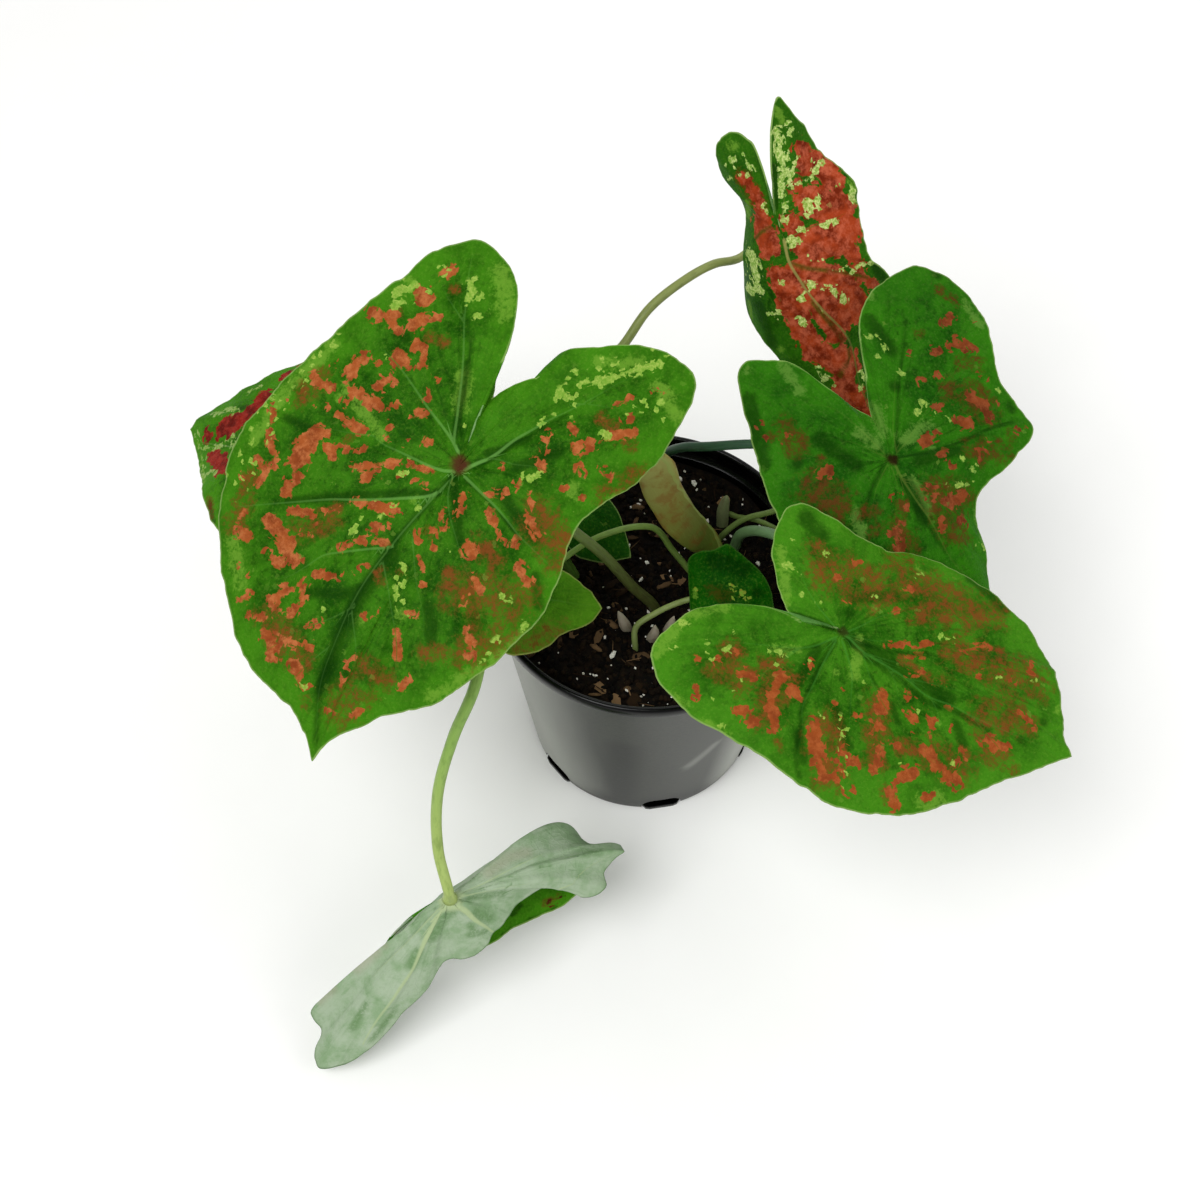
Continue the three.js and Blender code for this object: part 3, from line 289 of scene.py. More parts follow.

# Marks in each blade's own frame, where x runs from the hub along the midrib and y to the blade's left. The
# drooping blade's have z too. A half width comes before a colon, its strokes follow with commas between them,
# and semicolons part the half widths. Patch and cream are crisp, and blush, pale, dark, fleck and furrow fade
# out. Dark marks are painted shade, and furrow marks are painted shade along the grooves of the midrib and
# main veins. Blades without veins here have them along their ribs.
MARKS = {
    "left_front": {
        "patch": """
        0.5: -42 40 -43 43, 2 -46, 1 -42, 54 -42; 0.6: 37 -34 36 -29, -25 34 -29 40, -7 35, 78 -5 78 -1, -34
        32 -38 35, -16 -34, 1 -16, 53 -47, -4 11, 76 4 74 5; 0.7: 10 -33 8 -27, 23 -50 18 -41, 10 -14 9 -5, 32
        -29, 39 -13 37 -11, 72 -25 71 -22, 21 -2 24 -1, -1 22 4 23, 12 24 14 25, 28 1 31 4, 47 -3, 50 -5, 60
        -3 65 -4 69 -3, -6 -19, -19 -17, 2 -22, -2 -11 -1 -11; 0.8: -35 -27 -36 -24, -11 -46 -9 -44, 39 -52,
        35 -20 31 -15 29 -9, 61 -41 59 -39, 60 -19 57 -17, 14 2 18 4, 20 2 24 4, 4 11 3 14, -19 19 -14 20, 35
        6, 32 18 35 18, -14 -18 -13 -17; 0.9: -2 -38, 8 -57 11 -55, 29 -57, 32 -39 30 -32 26 -26, 26 -15 25
        -11, 66 -22 64 -16, 1 16 -2 17, -31 36 -32 38, -6 27 -7 29, 40 23 47 26, -7 -25 -7 -24, -8 -17 -9 -15;
        1: 23 -55 25 -51 30 -51, 14 -28 10 -22 7 -15 5 -7, 9 14 12 18 15 21, -10 19 -9 22, 27 18 29 21, 44 5
        43 7, 50 5 56 8; 1.1: -1 -23, 3 -54, 22 -40 25 -43 29 -42, 16 -23 12 -20, 46 -40 47 -35 45 -31, 45 -23
        43 -17, 49 -25 54 -24 58 -25 60 -29, 64 -36 63 -33, -23 23 -22 26, -14 31 -12 32, 60 13 63 12; 1.2:
        -25 -27 -25 -24 -21 -22, 10 -40 13 -34, 22 -22 20 -16 19 -10, -16 37 -15 39; 1.3: 15 -54 19 -51, 74
        -14 75 -12, 8 5 13 6, 6 26 8 29; 1.4: -48 -30 -50 -29, -5 -50 -4 -47 -4 -44, 2 -37 3 -33 3 -29, 67 -30
        67 -26 71 -26, -18 28 -21 31; 1.5: 44 -52 44 -48; 1.6: -29 -43 -28 -41, -30 -37 -27 -33, -34 -28 -30
        -30, 19 28 21 31; 1.7: -6 -37 -5 -32 -5 -28, 43 -35 44 -31; 1.8: 57 -32 53 -30, 71 -19 72 -17; 1.9:
        -11 -31 -13 -29; 2: -20 -30 -19 -26, -16 -39 -12 -40 -9 -40, 20 13 21 14; 2.4: -40 -33 -39 -31, 37 -44
        39 -39 41 -35; 2.8: 9 -41 14 -43 18 -43
        """,
        "cream": """
        0.3: 32 -2 35 0; 0.4: -50 -21 -42 -19, -40 -15 -43 -13, -32 36, 28 29 28 27, 13 -56, 44 5 43 7, 53
        -17, 16 -5 17 -5, 18 -12; 0.5: -42 -41 -41 -36, -22 16 -20 16, -40 43, 23 -13, 39 -1, 24 8, 5 -59, -19
        -33, 75 -14 75 -13, -44 23, -37 18; 0.6: 30 -19, -16 -49, 46 30, -25 32 -25 34; 0.7: -35 -36 -33 -38,
        21 -31 20 -30, 33 36; 0.8: -30 20 -30 17; 0.9: -5 19 -7 22; 1: -50 37 -43 30 -39 26 -35 21; 1.3: -36
        -39 -40 -37
        """,
        "blush": """
        1.8: 1 -52; 2: -45 -25, 7 -32; 2.2: 34 -1, 31 26, 40 24, 21 1, -29 -24; 2.4: 79 -11, 5 32 6 37, 26
        -27, 29 31; 2.6: -30 -20, -31 -37, 72 4 69 6, 61 0; 3: 29 11, -28 31 -26 40, 38 -6; 3.4: 52 15 49 21;
        4: 18 15 20 21, 2 -51 -5 -48; 4.5: 63 1 63 8, 30 -27 36 -34, 29 -54 42 -53; 5.1: -10 42 -18 47, 62 -31
        69 -17; 5.7: 39 32 46 25; 6.2: 4 27 12 38, 76 0 73 1; 6.8: 32 15 27 32
        """,
        "pale": """
        2.2: -42 -38, 51 -6, 14 -7; 2.4: 62 21 48 31 35 37, -6 -39 2 -24, 45 4; 2.6: -16 -49 2 -56 19 -58, -48
        33 -43 23, -3 -39; 3: 47 -52 57 -44, -44 41 -39 48, -7 32, -11 43; 3.4: -23 -10 -15 -7; 4: -55 -15 -45
        -8
        """,
        "dark": """
        1.6: -7 -5 -27 -11, 10 -2 14 -11 30 -41, -6 6 -15 15; 1.8: 9 -40 9 -52; 2: 4 0 19 10, -15 24 -6 15;
        2.2: 40 -7 46 -12 51 -23, 19 33 26 37, -26 -30; 2.4: 2 14 10 29, 39 10 48 15; 3.4: 31 -6 47 -9 64 -9
        72 -8
        """,
        "fleck": """
        2.4: 32 35 46 31, -48 -31; 2.6: -47 -20 -43 -13, 36 -2 44 6; 3: -35 35 -38 45, -34 -38 -43 -32, 22 -17
        30 -17, -11 -6, 8 -14; 4: -17 -49 2 -56 21 -57 32 -57, -52 37 -40 25 -27 18
        """,
        "furrow": """
        0.6: -6 -2 -12.5 -6 -23 -9 -31.5 -12.5 -38 -16.5, 3 3.5 5 9.5 7.5 15.5 9 20 11.5 24.5; 0.7: -1 4.5
        -5.5 8 -11.5 11.5 -17 15 -21 18 -25.5 21.5; 1.3: 4 0 13.5 -3 27.5 -7 44 -10 60 -10 73.5 -8.5 87.5 -3.5
        """,
        "vein": """
        0.6: -3 -2 -5 -4.5 -7 -8 -10.5 -15 -14.5 -22 -18 -28.5 -20 -34, 2.5 -1 3.5 -3.5 4 -8 4 -13.5 4 -18 4
        -22.5 3 -26; 0.3: 3 -26 5 -32 6.5 -38.5 8 -43.5; 0.6: 9 -1.5 11.5 -3.5 16 -11.5 21 -21.5 24.5 -29.5 29
        -38 34 -47.5 37.5 -54; 0.5: 28.5 -6.5 30 -8.5 32.5 -13 36.5 -19.5 39.5 -24 44 -27 47 -29 50 -31.5;
        0.7: 0.5 2 -2 4 -6 7.5 -12.5 11 -17.5 14.5 -22 17.5 -26.5 21; 0.3: -26.5 21 -30 23.5 -35 27 -40.5 30.5
        -46 35.5 -49 37, -29.5 22 -31 26 -32.5 31 -34 35.5, -5 6.5 -6 10 -6.5 14 -8.5 20 -8.5 25 -9 31.5; 0.5:
        2.5 3 4.5 9 6.5 15 8.5 19.5 11 24.5 12.5 29 14.5 35; 0.3: 5.5 0 9 1 14 4 19.5 9 24 13 28.5 18 33.5 23
        39 25.5, 24 -3 29 0 36 4.5 42 9.5 50 13.5, 34 -7.5 45 1 54.5 7 65 10.5, 50 -9.5 60.5 -3 72.5 1.5; 0.5:
        -3.5 -2.5 -4.5 -4 -12.5 -7 -22.5 -10.5 -30.5 -14 -37.5 -17.5 -43.5 -20 -51.5 -23.5 -56 -25; 0.3: -37.5
        -18 -40.5 -23 -43 -27 -47 -31, 49 -9.5 54.5 -14 61.5 -21 69.5 -26.5, 61 -10.5 68.5 -14.5 76.5 -17.5;
        0.4: 4 0 13.5 -3 27.5 -7 44 -10 60 -10 73.5 -8.5 91 -2
        """,
    },
    "right_front": {
        "patch": """
        0.4: 30 0 33 3; 0.5: 20 4 24 7, 22 -1 26 3, 10 14 11 15, 8 -16; 0.6: 32 -7, 32 -16, 13 3 18 7 24 12,
        -24 -24; 0.7: 50 -6, 49 15 50 16, 40 11 41 12, 53 25 54 22, -3 9 -2 9, -7 22 -6 23, -32 -32, -28 -38,
        -27 -40, -27 -29, 47 -16 46 -18, 37 -3, 41 -8, 15 -21, 11 -24, 36 -14; 0.8: 19 -20 20 -23, -9 14; 0.9:
        34 -8 36 -11, 23 -40 24 -40, 43 -30 44 -29, 57 9 62 7, 10 23 11 25; 1: -19 -28 -16 -27, 18 -39 19 -38,
        7 -24 8 -22, 25 -26 27 -32, 25 -6 26 -7, 28 -23 29 -22, 47 -12 48 -13; 1.1: -4 -15 -3 -16, 16 -35 17
        -31 21 -34, 27 -11 30 -12; 1.2: -15 -38 -13 -36, -11 -40 -9 -39, 18 -10 20 -15 22 -21, 34 16 39 22;
        1.4: -5 -25 -1 -26, 33 -34 36 -37; 1.6: -9 -23 -9 -31 -4 -37, 34 -29 37 -26, 37 -18 41 -20, 52 -5 57
        -4; 1.8: 5 -30 10 -36 15 -41, 45 -21 49 -21
        """,
        "cream": """
        0.3: -16 3, -9 3, -27 -19, -30 -19, 14 -26, 12 -11, 10 -3, -41 -25, 55 19 56 20, 14 -28, 46 14 47 15,
        31 -26, -29 -29, -27 -25, -26 -24, -8 -27, 11 30 12 31, 52 -11, -4 -15, 6 -27; 0.4: -29 21 -26 18, -39
        -32, 3 15, 45 -17; 0.5: -17 -44, 22 -39; 0.6: -15 19, 26 16 29 17, -13 -17; 0.8: -24 9 -20 9
        """,
        "blush": """
        2: 42 12, 63 -7; 2.1: 19 2 28 2, 32 3; 2.3: 0 -41; 2.5: 16 15 24 25, 32 20, -5 -21, -21 19; 2.8: 19 23
        31 32, 51 8 55 6, 20 -23 25 -30; 2.9: 33 -35 35 -36; 3: 43 22, 48 -5; 3.3: -18 19 -9 14, 30 -22 44
        -16; 3.6: 1 22, -26 -32 -17 -26, 10 -35; 3.9: -6 -36; 4.1: -25 -24 -16 -32; 4.7: 18 -14 26 -30, 52 -7
        56 -6; 5.8: 47 1 58 7, -12 -22 -7 -35, 39 -18 48 -16; 6.4: 20 21 36 33, 9 -30 16 -39; 7.6: 33 14 55
        20; 8.2: -12 15 4 18, 8 28 26 30
        """,
        "pale": """
        1.6: 4 -13; 1.8: 5 12, 36 -9; 2: 67 18, -15 -17 -9 -13; 2.1: -22 -46 -13 -46, -33 -43 -28 -44, 5 1 9
        -11; 2.3: -28 13 -22 5 -18 -2, 11 32; 2.8: -43 -36 -42 -23 -33 -13; 3: 43 -32 47 -28
        """,
        "dark": """
        1.2: -15 -3 -9 -2 -3 -1; 1.6: 22 -12 26 -16; 1.8: -12 -29; 2: 3 -35 8 -40, 9 -23 17 -30, 64 11, -4 -9
        -4 -22, 41 -6 46 -10; 2.1: -1 6, 60 1; 2.5: -2 11 8 19, 26 40 39 37; 2.8: 4 -1 17 -1 36 -1; 3.6: -26
        27 -20 24
        """,
        "fleck": """
        1.5: -10 4, 12 -25 22 -39, -40 -32 -41 -25; 1.6: -30 -20 -26 -19, 31 -9; 1.8: -22 -37 -18 -31; 2.1:
        -31 -27 -24 -25, -16 -18 -11 -19
        """,
        "furrow": """
        0.7: -0.5 -4 -8.5 -12.5 -13.5 -16; 0.9: -0.5 -5.5 -1 -13 -0.5 -21.5 0.5 -28.5 3 -33.5 5.5 -40.5 9
        -44.5, 3 -1.5 15 2 25.5 8.5; 1: 1.5 -1.5 9 -3.5 16 -4 23.5 -4.5 30.5 -5 38 -3.5 50.5 -1.5
        """,
        "vein": """
        0.5: 1 -0.5 2 -0.5 8 -2.5 15.5 -2.5 22.5 -2.5 30 -3.5 37.5 -2 44 -1.5 52 0 60.5 2 69.5 4 74 5.5; 0.4:
        0.5 0 4 5 6.5 9.5 10.5 14.5 15 20.5; 0.3: 2 0 10 3 15 7.5 18.5 11 25 13.5, 9 -2.5 16 -0.5 22 2 27 5 34
        7.5; 0.4: -2 0 -7.5 2 -13 4.5 -17 7.5 -20.5 11 -23.5 16, -1 -2.5 -4.5 -8 -8.5 -12 -13.5 -15 -19 -18
        -24.5 -21 -34 -27.5 -38.5 -30.5, -8.5 -12 -11 -18 -13.5 -23.5 -14 -29 -15.5 -33.5, -0.5 -3.5 -0.5
        -12.5 0 -21 0.5 -28 3.5 -33 6 -40.5, 1 -2.5 8 -10.5 11 -17 14 -23.5 17.5 -29.5; 0.3: 15.5 -2.5 20 -5.5
        23.5 -10 27.5 -15, 31.5 -3.5 34.5 -5.5 38 -9 42.5 -11 47.5 -11.5, 7 -2 13.5 -9 21.5 -14.5 28.5 -17.5
        36.5 -20.5, 44 -1.5 49.5 -3 55.5 -4.5, 22.5 -2.5 32 1.5 41 4.5 49.5 8
        """,
    },
    "right_back": {
        "patch": """
        0.5: -23 -31; 0.6: -4 41, 6 31; 0.7: -32 50, -28 -30, 11 -6 10 -3, 15 -3, 12 4 13 9; 0.8: -29 24, 9 15
        9 16, -20 -26 -20 -25, 21 12, -13 40 -12 41, 18 -6; 0.9: -27 31 -26 33; 1: -19 28 -18 28, -9 20 -9 23,
        7 43 7 46, 24 12 25 13; 1.1: -26 37, -19 21 -19 22, 5 14 5 15, 15 5 16 7; 1.2: 9 26 11 26, 19 -9 23
        -9; 1.3: 24 4 23 5, -6 -21 -5 -19; 1.4: -35 44 -34 40; 1.5: -27 41 -24 42 -22 43, -1 11 -1 16; 1.6: -9
        33 -4 36 0 36; 1.7: 18 9 18 17; 2.1: -3 26 -1 27
        """,
        "cream": """
        0.3: -25 18 -23 18; 0.4: -40 14 -39 15, -13 18, -32 14, 14 12 16 20; 0.5: -13 19 -10 15, 11 21, 33 18;
        0.6: -35 18 -34 18, -4 22, -7 42 -7 43
        """,
        "blush": """
        2.1: -9 -20; 2.3: 13 -4, 7 40; 2.5: -34 30, -22 -29, 19 5, 8 -23, 16 -14; 2.6: 11 -12 10 -15; 2.8: -45
        45 -40 48, -25 -24; 3: -12 34 -8 38; 3.4: -19 38 -17 42, 10 33 10 25, -5 -26 1 -24, 27 6 28 11; 4.3: 7
        24 13 36, 18 -8 24 -7; 4.9: -23 -24 -17 -24, 23 6 28 10; 5.6: -12 30 -3 36, 14 7 19 16; 6.2: -3 -25 4
        -21
        """,
        "pale": """
        1.7: 23 19 32 19; 1.9: -46 -24, 8 2 19 3; 2.1: 9 -17 15 -17, 2 13; 2.3: -39 52 -29 51; 2.5: -42 -14
        -32 -14, -52 23; 2.6: -12 -5 -6 -2; 2.8: -17 4 -9 2; 3.2: -4 7 -5 15
        """,
        "dark": """
        2.3: -12 -26; 2.5: -1 45; 2.6: -21 13; 2.8: -37 -29 -17 -34, 4 7 6 19, 8 0 20 0, -51 48; 3.2: -44 18
        -32 19, -15 -17 -3 -11
        """,
        "fleck": "1.5: 32 16; 1.7: -40 14 -33 18; 1.9: 9 20 13 22, -12 17 -4 22",
        "furrow": """
        0.7: 0 1.5 2 8 3.5 14.5 4 20.5 4 27.5 3.5 35.5 4 42.5, -2 3 -9 7 -17.5 12.5 -23.5 16.5 -30 22 -40 29,
        15.5 -0.5 22 1 30.5 3.5; 0.9: 0 -2.5 5.5 -10.5 11.5 -15.5
        """,
        "vein": """
        0.5: 0.5 -0.5 1.5 0 6 -0.5 11.5 0 16.5 1 20 2 25 3 32 4.5 41 8.5 50.5 12.5; 0.3: -1.5 3 -4 8.5 -9 17
        -14.5 27 -16.5 32.5 -21.5 40, 7.5 0.5 11 7 13.5 13 15.5 20 17 24.5, -1.5 -1.5 -7 -5.5 -11 -9.5 -10.5
        -13.5 -9 -20, -2.5 -1 -13 -4 -23 -8.5 -28 -16.5 -31 -23, 1 -2.5 6 -9 10 -12 13.5 -15.5, 2 -1.5 10 -3.5
        16.5 -8, -1.5 2.5 -9.5 6 -18 11.5 -24 15.5 -30.5 20.5 -40.5 28
        """,
    },
    "back": {
        "patch": """
        1.4: -20 -3 -15 -2 -8 -2, -3 6; 1.9: 45 3 54 0; 2: -21 16 -18 16, 23 16 30 17; 2.4: 54 -5 59 -5; 2.6:
        16 17 21 17, -10 10; 2.9: -2 4 4 5; 3: 41 -3 48 -3; 3.4: -15 15 -12 19 -5 21; 3.6: 45 0 55 -2 65 -2,
        25 0 38 2; 3.8: -4 -4 3 -5; 4: 13 -6 26 -7 40 -7 43 -4; 5: -4 12 3 18; 6.1: 8 7 10 16; 6.9: 16 0 24 7
        32 8
        """,
        "cream": """
        0.3: -10 16 -10 9; 0.4: 2 5 4 10 6 17, 54 3 58 1, -24 0 -20 1, 14 8, 15 -6, 29 0, 34 -5, -5 20, -1 16;
        0.5: 53 -6, -26 -4 -26 0, 23 -14 24 -12, 23 20 24 21, -7 -1 -9 -1; 0.6: -4 14 -1 14, -4 21, 19 0 25 7
        30 8, 20 12 22 14, -21 -8; 0.7: -28 16 -24 16, -6 5 -2 2, 22 16 22 18; 0.8: -18 14 -13 9, -12 19 -11
        17, -1 24 3 23, 22 -3 21 -1; 0.9: 29 -7 31 -6, 46 -8 51 -8; 1.2: -16 8 -10 5; 1.5: -4 11 -1 11, 4 1 5
        4; 1.6: 14 -17 15 -14; 1.7: -28 12 -24 11 -17 9; 2: 4 -12 11 -13
        """,
        "blush": "2: -1 -2, 26 16; 3: -20 -3 -11 -2, 20 -4; 3.4: 38 2; 4: 22 7 32 10",
        "pale": "1.2: 18 -20 23 -22; 1.4: -3 25 0 25, -12 -5 -8 -8; 1.6: -34 15 -30 15, 36 -17; 2.4: -30 -2",
        "dark": """
        0.8: 12 6; 0.9: 3 16; 1: 37 -2, -9 18, 16 -11 20 -11, 47 1 51 0, 32 -8 36 -6, 43 8 46 8; 1.2: 49 -2 48
        0, -5 24; 1.6: 4 -4 6 -3; 1.8: 25 21 30 21, -19 7 -8 2; 2.6: 20 -17 33 -19
        """,
        "fleck": """
        1.4: 1 24; 2: 50 -8; 2.2: -13 17; 2.4: -26 -6 -21 -2, 21 14; 2.6: -10 6, 10 -15, -4 11, 24 -15, 12 6
        """,
        "furrow": """
        0.6: 42.5 3.5 47 2 51 -3, -2.5 -1 -2 -5 0 -9; 0.7: 10 -1.5 14 2 18 7.5 22.5 13 27 17; 0.8: 25 -0.5
        33.5 1.5 41 2.5
        """,
        "vein": """
        0.6: 3 0 10 -1.5 16.5 -1 21 -0.5 29 1.5 36.5 3.5 41.5 4 46.5 3.5 55.5 1.5 64.5 0.5; 0.3: -10.5 9 -10.5
        13 -11 17 -12.5 19.5, 3 0.5 3 5 3.5 10.5 4.5 14.5 5 18, -2 1.5 -8.5 5.5 -16.5 9.5 -28 13.5
        """,
    },
    "left_back": {
        "patch": "2.3: 35 -21 32 -26; 2.6: 63 0; 3: 44 7; 3.5: 56 -1 46 -4 40 -12, 57 8 46 15",
        "cream": """
        0.3: 50 -15 45 -17; 0.5: 55 15 50 16, 64 7 57 17, 71 -2 66 4, 58 -9 49 -8; 0.6: 49 2 46 3, 64 -8 58
        -7; 0.8: 64 4 47 5
        """,
        "blush": "2.3: 49 26 46 32, 43 -12",
        "pale": "0.7: 69 1 55 19",
        "dark": "1.6: 49 27 44 34, 50 -8 47 -9",
        "fleck": "1.6: 65 4 57 17, 52 2 44 7; 2.8: 63 -8 51 -8",
        "vein": """
        0.5: 1 0 16 4.5 32 6.5 47 6 55.5 4 67 1.5; 0.4: 2 6.5 14 17.5 33.5 27 38 33.5, 2 -2 18.5 -9.5 41.5
        -18, -4.5 3 -21.5 21.5 -36 43.5, -3 -2 -9 -13 -11 -30.5
        """,
    },
    "small_right": {
        "cream": "0.4: 2 6 4 8; 0.5: 3 4 4 8; 0.6: 0 3 2 5",
        "blush": "2.9: -1 -3 2 1",
        "pale": "0.8: 2 7; 1.2: -2 -8 0 -8",
        "dark": "2.4: 3 11; 3.8: -10 0 -5 8",
        "fleck": "1.2: -2 -7; 1.9: 2 4 4 7",
        "furrow": "0.6: 1 0 8 0 15.5 0.5",
        "vein": "0.3: 0 0.5 -4 2 -9 2.5, 1 0 8 0 15.5 0.5 21 1, 1 -1.5 0.5 -6.5, 0 2.5 -1 9.5",
    },
    "drooping": {
        "patch": """
        0.2: 12.5 -2.5 2.5 17 -3.5 3.5 21 -3 3.5, 16.5 0 6.5 21 -0.5 6 26 -0.5 6.5, 23 -9.5 5 27.5 -11.5 6,
        9.5 -1 1.5 14 -1.5 2.5, 30 -4.5 5.5 34 -4.5 7, 39.5 -3 10.5 42 -2.5 12, 17.5 -0.5 4 20 -1 3.5; 0.5: 32
        -3 33.5 36.5 -3.5 33
        """,
        "cream": "0.2: 38.5 -14.5 10.5 40 -13 11; 0.3: 34 -12 8.5 36.5 -11.5 9",
        "blush": """
        1.6: -23 2 17.5 -19 -4.5 25; 1.9: -48 4.5 43 -42.5 4 37, 34.5 -3.5 33 31 -3 34; 2.3: 14 -6 2.5 21.5
        -10 4.5 27.5 -10.5 6, -33.5 3 27.5 -26 2 20
        """,
        "pale": """
        1.9: -6.5 1.5 4.5 -3 0.5 2; 2.3: 22.5 -0.5 5 31 -3 7; 2.6: -41.5 15 39 -46 18.5 45, 37 -5.5 7.5 47
        -5.5 11.5, 45 1.5 16 48.5 -1 17, -6.5 8 14 3 10 16, -15 12.5 22.5 -19.5 15.5 30; 2.9: -45.5 8 43 -38 7
        34.5, -36 4.5 30.5 -26 2.5 20, -20 4 16 -27.5 11.5 24.5
        """,
        "dark": """
        0.8: -13 1 9 -6.5 -2.5 7; 1: 2.5 -3.5 2.5 7.5 -5 1.5 11 -6 2; 1.3: 4 6.5 9 6 8.5 13.5, -4 3 4.5 0 3 3,
        -25.5 17.5 34.5 -35 22 44, 51 -7 12.5 46 -6.5 10, 23 -4.5 33 19.5 -3 34.5; 1.6: -13 8 13.5 -17 10.5
        18, -34 14.5 31.5 -40 18 40, 3.5 8.5 12.5 8.5 8 14, 15.5 2.5 37 24.5 0.5 36.5 34 -0.5 35; 1.9: 6.5 0.5
        2 12.5 0.5 4.5 16.5 0 6, -8.5 7 10.5 -5 5 6.5 -1.5 3 3.5; 2.3: 7 4 6 10.5 5.5 10.5
        """,
        "vein": """
        1.2: 0 1 1 3.5 3 3.5 6 5.5 8 9 7 13 11 8 17; 0.9: -1 1 1 -3 1.5 2.5 -8.5 5 8.5 -12.5 8 13.5 -16.5 11
        19 -21.5 13.5 24.5 -26 16 30 -30.5 18 35 -34.5 20 40 -38 22 45; 0.4: 1.5 0 0 9.5 -0.5 2 22.5 -1 5 35.5
        -0.5 9.5, 35 1.5 12 38.5 1 12.5 44.5 -2.5 13.5 51 -5 14.5 56 -6 14.5, -2 0.5 1.5 -11.5 4 9 -20.5 6.5
        17 -30.5 8.5 27, 2.5 -0.5 0.5 10 -2.5 2 20.5 -5.5 4 31.5 -8.5 7
        """,
    },
    "small_left": {
        "blush": "4.4: 0 -17 7 -12 12 -9",
        "dark": "1.6: 2 0 5 -2",
    },
}

# Shoots with no open blade: how far the section is widened along one axis and narrowed along the other, then
# points from the soil up, each with its radius.
SPROUTS = {
    "furled_leaf": (1.8, """
        22 8 88 2; 19 10 98 2.8; 14 9 107 3.4; 9 9 115 3.6; 6 10 121 3.6; 3 12 127 3.7; 1 15 132 3.8;
        -3 18 138 2
    """),
    "sprout_back": (1.1, "24 24 88 1.8; 24 26 95 2; 25 28 101 1"),
    "sprout_front_left": (1.1, "-6 -17 88 1.7; -7 -17 92 1.7; -9 -15 96 0.6"),
    "sprout_front": (1.1, "2 -20 88 1.5; 3 -20 92 1.5; 3 -19 95 0.5"),
    "sprout_front_right": (1.1, "7 -17 88 1.4; 8 -17 92 1.4; 9 -16 96 0.5"),
}

# Upper-side colours of the blades, as names and sRGB codes. A blade's own colours replace the common ones.
COMMON_COLOURS = (
    "deep 072C00 green 1E5602 light 3F8010 pale 6E9A30 patch 984E24 patch_two 7C3A1A patch_light B66C3E "
    "blush 5E4014 cream 9CB650 vein 6AA04A margin 90AE60 hub 4A2218"
)
BLADE_COLOURS = {
    "left_front": "green 184A02 light 3A770F",
    "right_front": "green 1C5004 light 3C7A12 patch 8C441C patch_light A4582C vein 448630 hub 28300C",
    "right_back": "deep 052200 green 134804 light 2C6C0A pale 5E8634 patch 7C3C1C patch_two 5A2A12 "
                  "patch_light 8C4A2A blush 46320C vein 64782E hub 200A04",
    "back": "deep 082C02 green 164404 light 2C640A patch 9A3A1A patch_two 641E0A patch_light BA5C40 "
            "blush 6A200A cream D0DE8C vein A89A5A",
    "left_back": "deep 141E0E patch 7E1C14 patch_two 5A140E patch_light 9A3428 cream A4B474 vein B4C090",
    "drooping": "patch 4E2010 patch_two 3A1A0A patch_light 5E3018",
    "small_right": "deep 021E00 green 043800 light 0C4A02 patch_two 3A3606 blush 343404 cream 827A2A "
                   "vein 124A08 margin 3E6A24",
    "small_left": "green 246408 light 56901A pale 7EA436 blush 747026 margin A2AC5C",
    # The shaded blades sit deep under the others, and their darker greens are painted shade.
    "shaded": "deep 062402 green 0E3C06 light 184C0A vein 225E18",
}

# Radius of the dark spot over the stalk, on the blades that have one.
HUB_SPOTS = {"left_front": 3.2, "right_front": 1.9, "right_back": 2.2}

# Underside colours of the blades.
UNDERSIDE_COLOURS = {
    "drooping": "sage 829E76 bloom A0B296 shade 567A46 rib A6B88A",
    "left_back": "sage 7E8A62 bloom 98A480 shade 5E4A32 rib A8B078",
    "right_front": "sage 44762C bloom 56863C shade 2E5A1C rib 6E8E4C",
    "other": "sage 5E8A4A bloom 7EA268 shade 3E6A2C rib 90AC68",
}

# Stalk colours from the soil to the blade.
STALK_COLOURS = {
    "left_front": "2C2A14 4A4E24 5E7232 6C8A3E",
    "right_front": "4E6A3E 5E7C50 688860 5E8A44",
    "right_back": "28301E 1E3A28 2C5238 47743A",
    "back": "3C4A1E 5A6C2E 788244 98A060",
    "left_back": "3E4A22 54642C 5E7A36 78904A",
    "drooping": "4A6824 5A862E 7CA246 A0B464",
    "small_right": "5A6632 74844A 8A9A58 6E8A42",
    "small_left": "4E642A 667F38 74923F 7E9C48",
    "shaded": "46562A 5C7036 667C3C 667C3C",
}

# Shoot colours from the soil to the tip, then the colour of blotches and that of an outer edge.
SHOOT_COLOURS = {
    "furled_leaf": "3A5A18 4C6822 5E6E26 7E7E36 9E9C56 80521F 8E9E50",
    "sprout_back": "5A5A40 68704C 727A54 60583E 8A8E6A",
    "sprout": "5A5038 847A66 A09684 86705E ACA48E",
}


# ---------------------------------------------------------------- materials


class Field:
    """A number or colour at every point of a surface, that can be added, scaled and eased."""

    def __init__(self, shader, socket):
        self.shader = shader
        self.socket = socket

    def __add__(self, other):
        return self.shader.math("ADD", self, other)

    def __sub__(self, other):
        return self.shader.math("SUBTRACT", self, other)

    def __rsub__(self, other):
        return self.shader.math("SUBTRACT", other, self)

    def __mul__(self, other):
        return self.shader.math("MULTIPLY", self, other)

    def ease(self, low, high):
        """0 at low and 1 at high, eased at both ends."""
        inputs = {"Value": self, "From Min": low, "From Max": high}
        return self.shader.node("MapRange", inputs, "Result", interpolation_type="SMOOTHSTEP")


